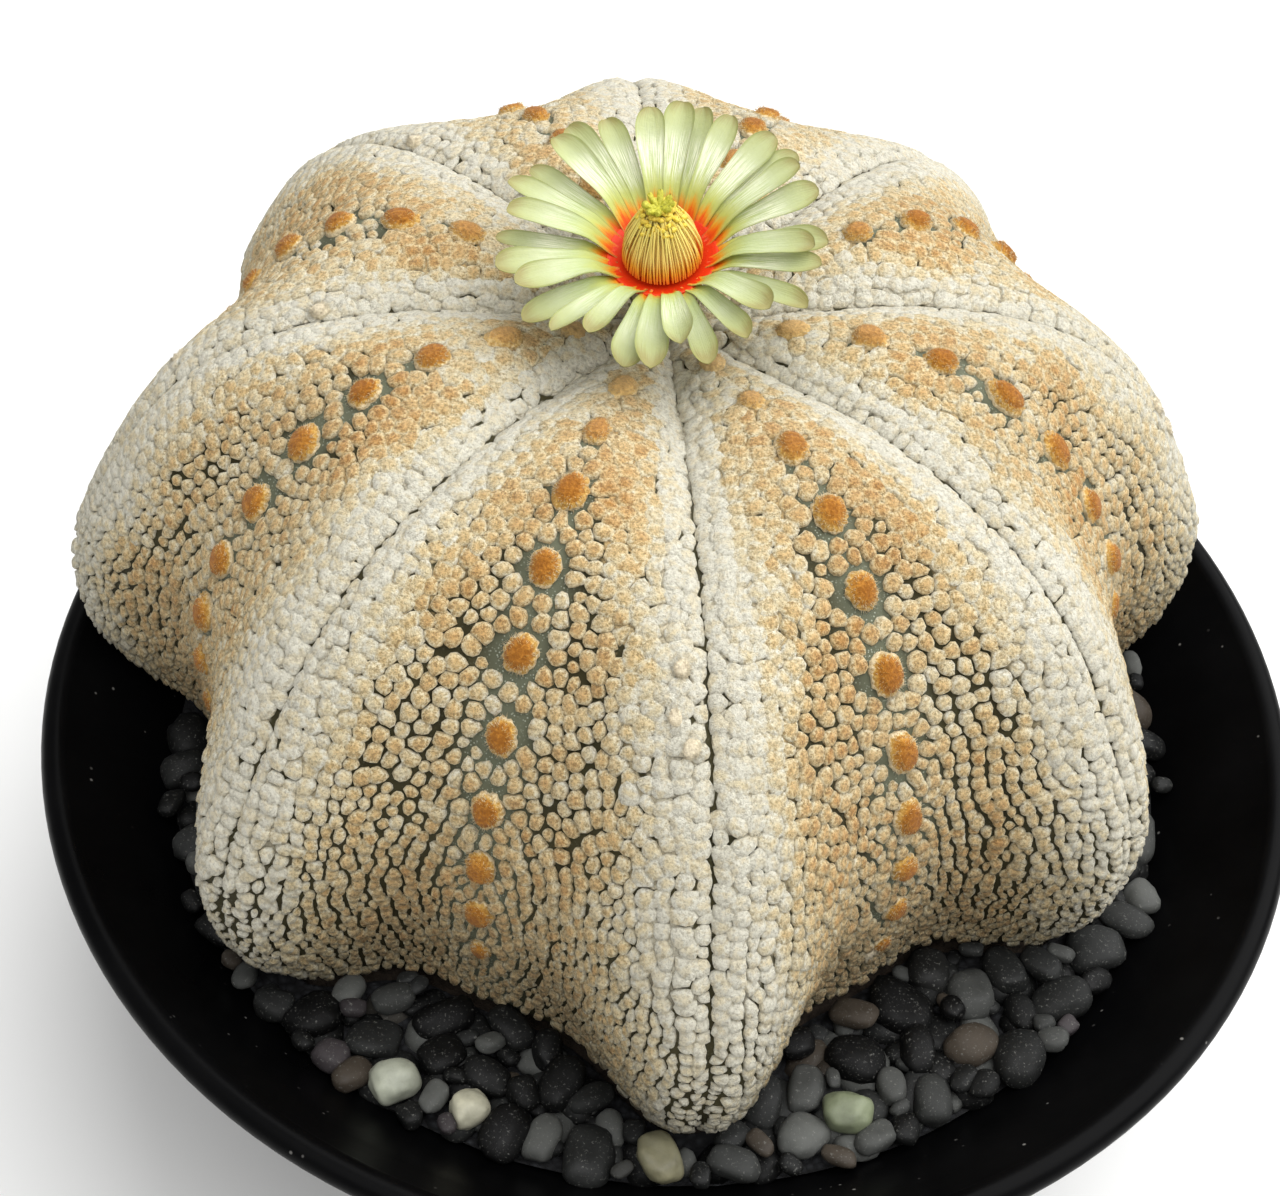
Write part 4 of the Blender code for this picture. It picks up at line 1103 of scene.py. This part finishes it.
def to_flower(points):
    """Points in mm in the flower's frame, moved to the crown in metres."""
    crown = Vector((*PLANT_AXIS, skin(CROWN_SEAT, 0.0)[2] + FLOWER_LIFT))
    place = np.array(Matrix.Translation(crown) @ FLOWER_LEAN.to_matrix().to_4x4())
    return points * MM @ place[:3, :3].T + place[:3, 3]


def flower_piece(name, shapes, mat, node, label):
    """Joins (points in mm, faces, marks) shapes into one piece of the flower."""
    points, faces, marks = zip(*shapes)
    first = np.cumsum([0] + [len(shape) for shape in points])
    faces = np.concatenate([shape_faces + n for shape_faces, n in zip(faces, first)])
    marks = np.concatenate([np.broadcast_to(mark, shape.shape) for mark, shape in zip(marks, points)])
    make_piece(name, to_flower(np.concatenate(points)), faces, mat, [node], (label, marks))


def lathe(outline, steps, sides):
    """Points and faces of a turned form with a smooth outline."""
    profile = smooth(outline, np.linspace(0, 1, steps + 1))
    rings = [polar(r, even_angles(sides), np.full(sides, z)) for r, z in profile]
    return np.concatenate(rings), ring_faces(len(rings), sides)


def tube_along(path, radii, sides):
    """Points and faces of a round tube along a path."""
    tangent = unit(np.gradient(path, axis=0))
    side = unit(np.cross(tangent, (0.31, 0.17, 0.93)))
    other = np.cross(tangent, side)
    a = even_angles(sides)[:, None]
    around = np.cos(a) * side[:, None, :] + np.sin(a) * other[:, None, :]
    rings = path[:, None, :] + radii[:, None, None] * around
    return rings.reshape(-1, 3), ring_faces(len(path), sides)


def angles_round(rng, count, jitter, start=0.0):
    """Even angles round the flower, each moved by up to jitter steps at the time it is asked for."""
    for i in range(count):
        yield 2 * np.pi * (i + start + rng.uniform(-jitter, jitter)) / count


def petal_half_width(t):
    grown = PETAL_BASE_WIDTH + (PETAL_WIDTH - PETAL_BASE_WIDTH) * smoothstep(0.0, 0.8, t)
    end = np.clip((t - 0.78) / 0.22, 0, 1)
    return grown / 2 * np.sqrt(np.maximum(1 - end ** 2, 0.004))


def petal_sheet(style, angle, length, lift, rise, droop):
    """Top and under side of one petal: spatulate, channelled, with a round tip."""
    t, v = np.meshgrid(1 - (1 - np.linspace(0, 1, PETAL_STEPS + 1)) ** 1.35,
                       np.linspace(-1, 1, PETAL_LANES + 1), indexing="ij")
    half = petal_half_width(t) * (1 + style["broad"])
    out = PETAL_ROOT[0] + length * t
    up = PETAL_ROOT[1] + lift * np.minimum(1, 2.5 * t) + length * math.tan(math.radians(rise)) * t
    up = up - droop * t ** 3 - FUNNEL_DEPTH * (1 - smoothstep(0, FUNNEL_REACH, t))
    up = up + (0.2 + style["curl"] * smoothstep(0.2, 0.9, t)) * np.abs(v) ** 1.8 * half
    up = up + 0.08 * np.cos(v * 9) * (1 - t ** 2)
    side = v * half + style["sweep"] * t ** 2
    up = up + side * np.sin(style["twist"] * t)
    side = side * np.cos(style["twist"] * t)
    up = up + 0.12 * np.sin(t * 9 + style["phase"]) * np.sign(v) * np.abs(v) ** 3
    thin = PETAL_THICKNESS * (1 - 0.6 * v ** 2) * (1 - 0.5 * t)
    x = out * math.cos(angle) - side * math.sin(angle)
    y = out * math.sin(angle) + side * math.cos(angle)
    top = up + PETAL_THICKNESS / 2
    points = np.stack([np.stack([x, y, top], -1), np.stack([x, y, top - thin], -1)])
    mark = np.stack([t, v, np.full(t.shape, style["draw"])], -1)
    return points.reshape(-1, 3), np.tile(mark.reshape(-1, 3), (2, 1))


def petals(mat):
    """All petals in three layers, in the places and with the lengths of the solid's petals.

    Those at the back are drawn paler, as the light comes through them.
    """
    rng = random.Random(SEED)
    looks = random.Random(SEED + 1)
    lanes = PETAL_LANES + 1
    count = (PETAL_STEPS + 1) * lanes
    top_faces = ring_faces(PETAL_STEPS + 1, lanes, closed=False)
    grid = np.arange(count).reshape(-1, lanes)
    rim = np.concatenate([grid[:, 0], grid[-1, 1:], grid[-2::-1, -1], grid[0, -2:0:-1]])
    after = np.roll(rim, -1)
    around = np.stack([rim, after, after + count, rim + count], -1)
    faces = np.vstack([top_faces[:, ::-1], top_faces + count, around])
    shapes = []
    for count_in_layer, start, lift, length, rise in PETAL_LAYERS:
        for i in range(count_in_layer):
            angle = math.radians(start) + 2 * math.pi * i / count_in_layer
            stretched = length * rng.uniform(*PETAL_STRETCH)
            droop = rng.uniform(*PETAL_DROOP)
            yaw = rng.uniform(*PETAL_YAW)
            style = {kind: looks.uniform(*limits) for kind, limits in PETAL_STYLE.items()}
            # Painted light: petals at the back are drawn paler, as light shines through them
            style["draw"] += 0.4 + 0.35 * math.sin(angle)
            raised = rise + PETAL_BACK_RISE * (1 + math.sin(angle))
            points, mark = petal_sheet(style, angle + math.radians(yaw), stretched, lift, raised, droop)
            shapes.append((points, faces, mark))
    flower_piece("petals", shapes, mat, "flower_petals", "petal")


def throat(mat):
    verts, faces = lathe(THROAT_OUTLINE, 18, 72)
    mark = np.zeros(verts.shape) + (0, 0, 0.5)
    mark[:, 0] = (np.hypot(verts[:, 0], verts[:, 1]) - 5.6) / 15
    flower_piece("throat", [(verts, faces, mark)], mat, "flower_petals", "petal")


def petal_material():
    look = Look("petal", {
        "Roughness": 0.5, "Specular IOR Level": 0.3, "Subsurface Weight": 0.15,
        "Subsurface Radius": (1.0, 1.0, 0.4), "Subsurface Scale": 0.6 * MM})
    # draw holds each petal's own paleness and the painted light through the back petals; it sets the tone
    # and the painted sheen
    along, across, draw = look.channels("petal")
    streak_place = look.node("CombineXYZ", {0: look.times(along, 0.3), 1: across, 2: draw}).outputs[0]
    streak = look.noise(14, at=streak_place)
    aside = look.math("ABSOLUTE", across)
    place = look.plus(along, look.span(streak, 0.3, 0.7, -0.025, 0.025))
    place = look.plus(place, look.span(aside, 0.0, 0.8, -0.035, 0.02))
    place = look.plus(place, look.span(draw, -0.1, 0.4, 0.08, 0.0))
    colour = look.ramp(
        place,
        (0.0, (0.66, 0.03, 0.002)),
        (0.09, (0.74, 0.1, 0.004)),
        (0.14, (0.68, 0.3, 0.015)),
        (0.21, (0.46, 0.49, 0.12)),
        (0.4, (0.41, 0.48, 0.21)),
        (0.64, (0.46, 0.51, 0.29)),
        (0.86, (0.4, 0.43, 0.2)),
        (0.98, (0.31, 0.28, 0.11)),
    )
    # Painted sheen: a pale, streaky highlight down the middle of each petal, strongest on the paler back
    # petals
    middle = look.span(look.math("ABSOLUTE", look.math("SUBTRACT", along, 0.5)), 0.28, 0.05)
    painted_sheen = look.times(middle, look.span(streak, 0.35, 0.65))
    painted_sheen = look.times(painted_sheen, look.span(draw, 0.1, 0.65, 0.15, 1.0))
    colour = look.mix(painted_sheen, colour, (0.82, 0.83, 0.66))
    colour = look.mix(look.times(look.span(aside, 0.82, 1.0), 0.5), colour, (0.33, 0.37, 0.1))
    return look.finish(colour, look.plus(streak, look.noise(1800, 2)), 0.12 * MM, 0.5)


def stamens(rng, mat):
    """Filaments that lean in to a dome of anthers, over a core that closes the cone."""
    core, core_faces = lathe(CONE_CORE, 12, 36)
    height = (core[:, 2] - CONE_CORE[-1][1]) / (CONE_CORE[0][1] - CONE_CORE[-1][1])
    core_mark = np.zeros(core.shape) + (0, 0, 1)
    core_mark[:, 0] = 0.8 * np.clip(height, 0, 1)
    shapes = [(core, core_faces, core_mark)]
    t = np.linspace(0, 1, FILAMENT_STEPS)[:, None]
    radii = np.linspace(*FILAMENT_RADII, FILAMENT_STEPS)
    for count, foot_radius, head_radius in FILAMENT_RINGS:
        for a in angles_round(rng, count, 0.35):
            bend = a + rng.uniform(-0.14, 0.14)
            head_r = head_radius * rng.uniform(0.85, 1.08)
            foot = polar(foot_radius, a, FILAMENT_FOOT)
            path = foot + (polar(head_r, bend, FILAMENT_TOP - 0.16 * head_r ** 2) - foot) * t
            path[:, :2] *= 1 + rng.uniform(0.08, 0.2) * np.sin(np.pi * t)
            points, faces = tube_along(path, radii, FILAMENT_SIDES)
            mark = np.hstack([t, np.full(t.shape, rng.random()), np.ones(t.shape)])
            shapes.append((points, faces, np.repeat(mark, FILAMENT_SIDES, 0)))
    flower_piece("filaments", shapes, mat, "flower_stamens", "stamen")


def anthers(rng, mat):
    base, faces = icosphere(2)
    shapes = []
    for count, radius, height in ANTHER_RINGS:
        for a in angles_round(rng, count, 0.4):
            place = polar(radius * rng.uniform(0.86, 1.1), a, height + rng.uniform(-0.35, 0.35))
            turn = Euler(rng.uniform(0, 3, 3)).to_matrix()
            grain = base * (0.28, 0.3, rng.uniform(0.45, 0.68))
            grain = grain * (1 - 0.25 * np.exp(-(base[:, :1] / 0.3) ** 2))
            shapes.append((grain @ np.array(turn).T + place, faces, (1.0, rng.random(), 0.0)))
    flower_piece("anthers", shapes, mat, "flower_stamens", "stamen")


def stamen_material():
    look = Look("stamen", {"Roughness": 0.6})
    along, draw, filament = look.channels("stamen")
    pollen = look.noise(4500, 2)
    thread = look.ramp(
        along,
        (0.0, (0.8, 0.16, 0.006)),
        (0.2, (0.86, 0.42, 0.03)),
        (0.45, (0.88, 0.66, 0.2)),
        (1.0, (0.86, 0.75, 0.2)),
    )
    grain = look.ramp(pollen, (0.3, (0.6, 0.4, 0.015)), (0.7, (0.86, 0.72, 0.1)))
    colour = look.mix(filament, grain, thread)
    colour = look.mix(look.span(draw, 0.0, 1.0, 0.0, 0.3), colour, (0.72, 0.42, 0.06))
    return look.finish(colour, pollen, 0.05 * MM, 0.7)


def stigma(rng, mat):
    """Style and its pale lobes, curved up and out at the top."""
    t = np.linspace(0, 1, 9)
    style = polar(0 * t, 0 * t, FILAMENT_FOOT + STYLE_HEIGHT * t)
    shapes = [(*tube_along(style, np.full(len(t), STYLE_RADIUS), 12), (0.0, 0.5, 0.0))]
    for a in angles_round(rng, STIGMA_LOBES, 0.15):
        out = 0.25 + rng.uniform(1.3, 1.8) * np.sin(t * 1.5)
        path = polar(out, a, LOBE_FOOT + 1.9 * t - 0.5 * t ** 3)
        radii = LOBE_RADIUS * np.sqrt(np.maximum(1 - (1.05 * t - 0.05) ** 6, 0.02))
        points, faces = tube_along(path, radii, 9)
        points = points * (1 + 0.01 * np.sin(points[:, 2:] * 40))
        shapes.append((points, faces, (1.0, rng.random(), 0.0)))
    flower_piece("stigma_lobes", shapes, mat, "flower_stigma", "lobe")


def stigma_material():
    look = Look("stigma_lobe", {"Roughness": 0.6})
    down = look.noise(5200, 3, 0.6)
    colour = look.ramp(down, (0.3, (0.38, 0.36, 0.015)), (0.7, (0.6, 0.57, 0.06)))
    return look.finish(colour, down, 0.08 * MM, 0.9)


def flower_stalk(rng, mat):
    """The short woolly stalk under the bloom, wrapped in pointed scales."""
    shapes = [(*lathe(TUBE_OUTLINE, 20, 48), (0.0, 0.5, 0.0))]
    outline = smooth(TUBE_OUTLINE, np.linspace(0, 1, 41))
    t, v = np.meshgrid(np.linspace(0, 1, 7), np.linspace(-1, 1, 5), indexing="ij")
    side = v * (0.85 * (1 - t ** 2.4) + 0.02)
    faces = ring_faces(*t.shape, closed=False)
    faces = np.concatenate([faces, faces[:, ::-1] + t.size])
    for row in range(SCALE_ROWS):
        z = FIRST_SCALE + row * SCALE_PITCH
        radius = np.interp(z, outline[:, 1], outline[:, 0])
        for a in angles_round(rng, SCALES_PER_ROW, 0.12, 0.5 * (row % 2)):
            up = z + rng.uniform(2.2, 2.9) * t
            out = radius + 0.12 + 0.55 * t * rng.uniform(0.6, 1.3) + 0.2 * (1 - v ** 2)
            x = out * math.cos(a) - side * math.sin(a)
            y = out * math.sin(a) + side * math.cos(a)
            sheet = np.stack([x, y, up], -1).reshape(-1, 3)
            points = np.concatenate([sheet, sheet * (0.975, 0.975, 1)])
            shapes.append((points, faces, (1.0, rng.random(), 0.0)))
    flower_piece("flower_stalk", shapes, mat, "flower_tube", "scale")


def stalk_material():
    look = Look("woolly_stalk", {"Roughness": 0.95, "Sheen Weight": 0.3})
    draw = look.channels("scale")[1]
    wool = look.noise(1900, 4, 0.7)
    colour = look.ramp(wool, (0.3, (0.2, 0.15, 0.06)), (0.7, (0.62, 0.52, 0.3)))
    colour = look.mix(look.times(draw, 0.4), colour, (0.34, 0.38, 0.16))
    return look.finish(colour, wool, 0.2 * MM, 0.9)


# Studio

def studio():
    bpy.ops.mesh.primitive_plane_add(size=6)
    floor = bpy.context.object
    floor.name = "floor"
    paint = Look("pale_floor", {"Roughness": 0.9, "Base Color": (0.86, 0.86, 0.85, 1)})
    floor.data.materials.append(paint.mat)
    world = bpy.data.worlds.new("studio")
    bpy.context.scene.world = world
    world.use_nodes = True
    backdrop = world.node_tree.nodes["Background"]
    backdrop.inputs["Color"].default_value = (1, 1, 1, 1)
    backdrop.inputs["Strength"].default_value = 0.4
    for name, place, size, power in (
        ("key", (0.38, 0.16, 0.8), 1.3, 16),
        ("fill", (-0.15, -0.45, 0.85), 0.8, 3.2),
    ):
        light = bpy.data.lights.new(name, "AREA")
        light.size = size
        light.energy = power
        lamp = new_object(name, light)
        lamp.location = place
        lamp.rotation_euler = (Vector((0, 0, 0.08)) - Vector(place)).to_track_quat("-Z", "Y").to_euler()


def photograph_camera():
    data = bpy.data.cameras.new("photograph")
    data.lens = LENS
    data.sensor_width = SENSOR
    data.clip_start = 0.01
    camera = new_object("photograph", data)
    turn = Matrix.Rotation(CAMERA_TILT, 4, "X") @ Matrix.Rotation(CAMERA_ROLL, 4, "Z")
    camera.matrix_world = Matrix.Translation(CAMERA_PLACE) @ turn
    bpy.context.scene.camera = camera
    bpy.context.scene.view_settings.view_transform = "Standard"


def main():
    rng = np.random.default_rng(SEED)
    areoles = areole_places()
    plant_skin(skin_material())
    felt_flecks(rng, areoles, felt_material())
    tuft_mat = areole_material()
    ages = 0.75 * (1 - smoothstep(0.1, 0.3, areoles[:, 0]))
    woolly_domes(rng, "areoles", areoles, areole_sizes(areoles), ages, tuft_mat)
    tufts = np.array(TUFTS)
    woolly_domes(rng, "tufts", tufts, np.full(len(tufts), TUFT_SIZE), np.ones(len(tufts)), tuft_mat)
    bowl(bowl_material())
    pebbles(rng, slate_material())
    grit_bed(grit_material())
    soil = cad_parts["soil"]
    soil.data.materials.clear()
    soil.data.materials.append(soil_material())
    petal_mat = petal_material()
    petals(petal_mat)
    throat(petal_mat)
    stamen_mat = stamen_material()
    stamens(rng, stamen_mat)
    anthers(rng, stamen_mat)
    stigma(rng, stigma_material())
    flower_stalk(rng, stalk_material())
    studio()
    photograph_camera()


main()
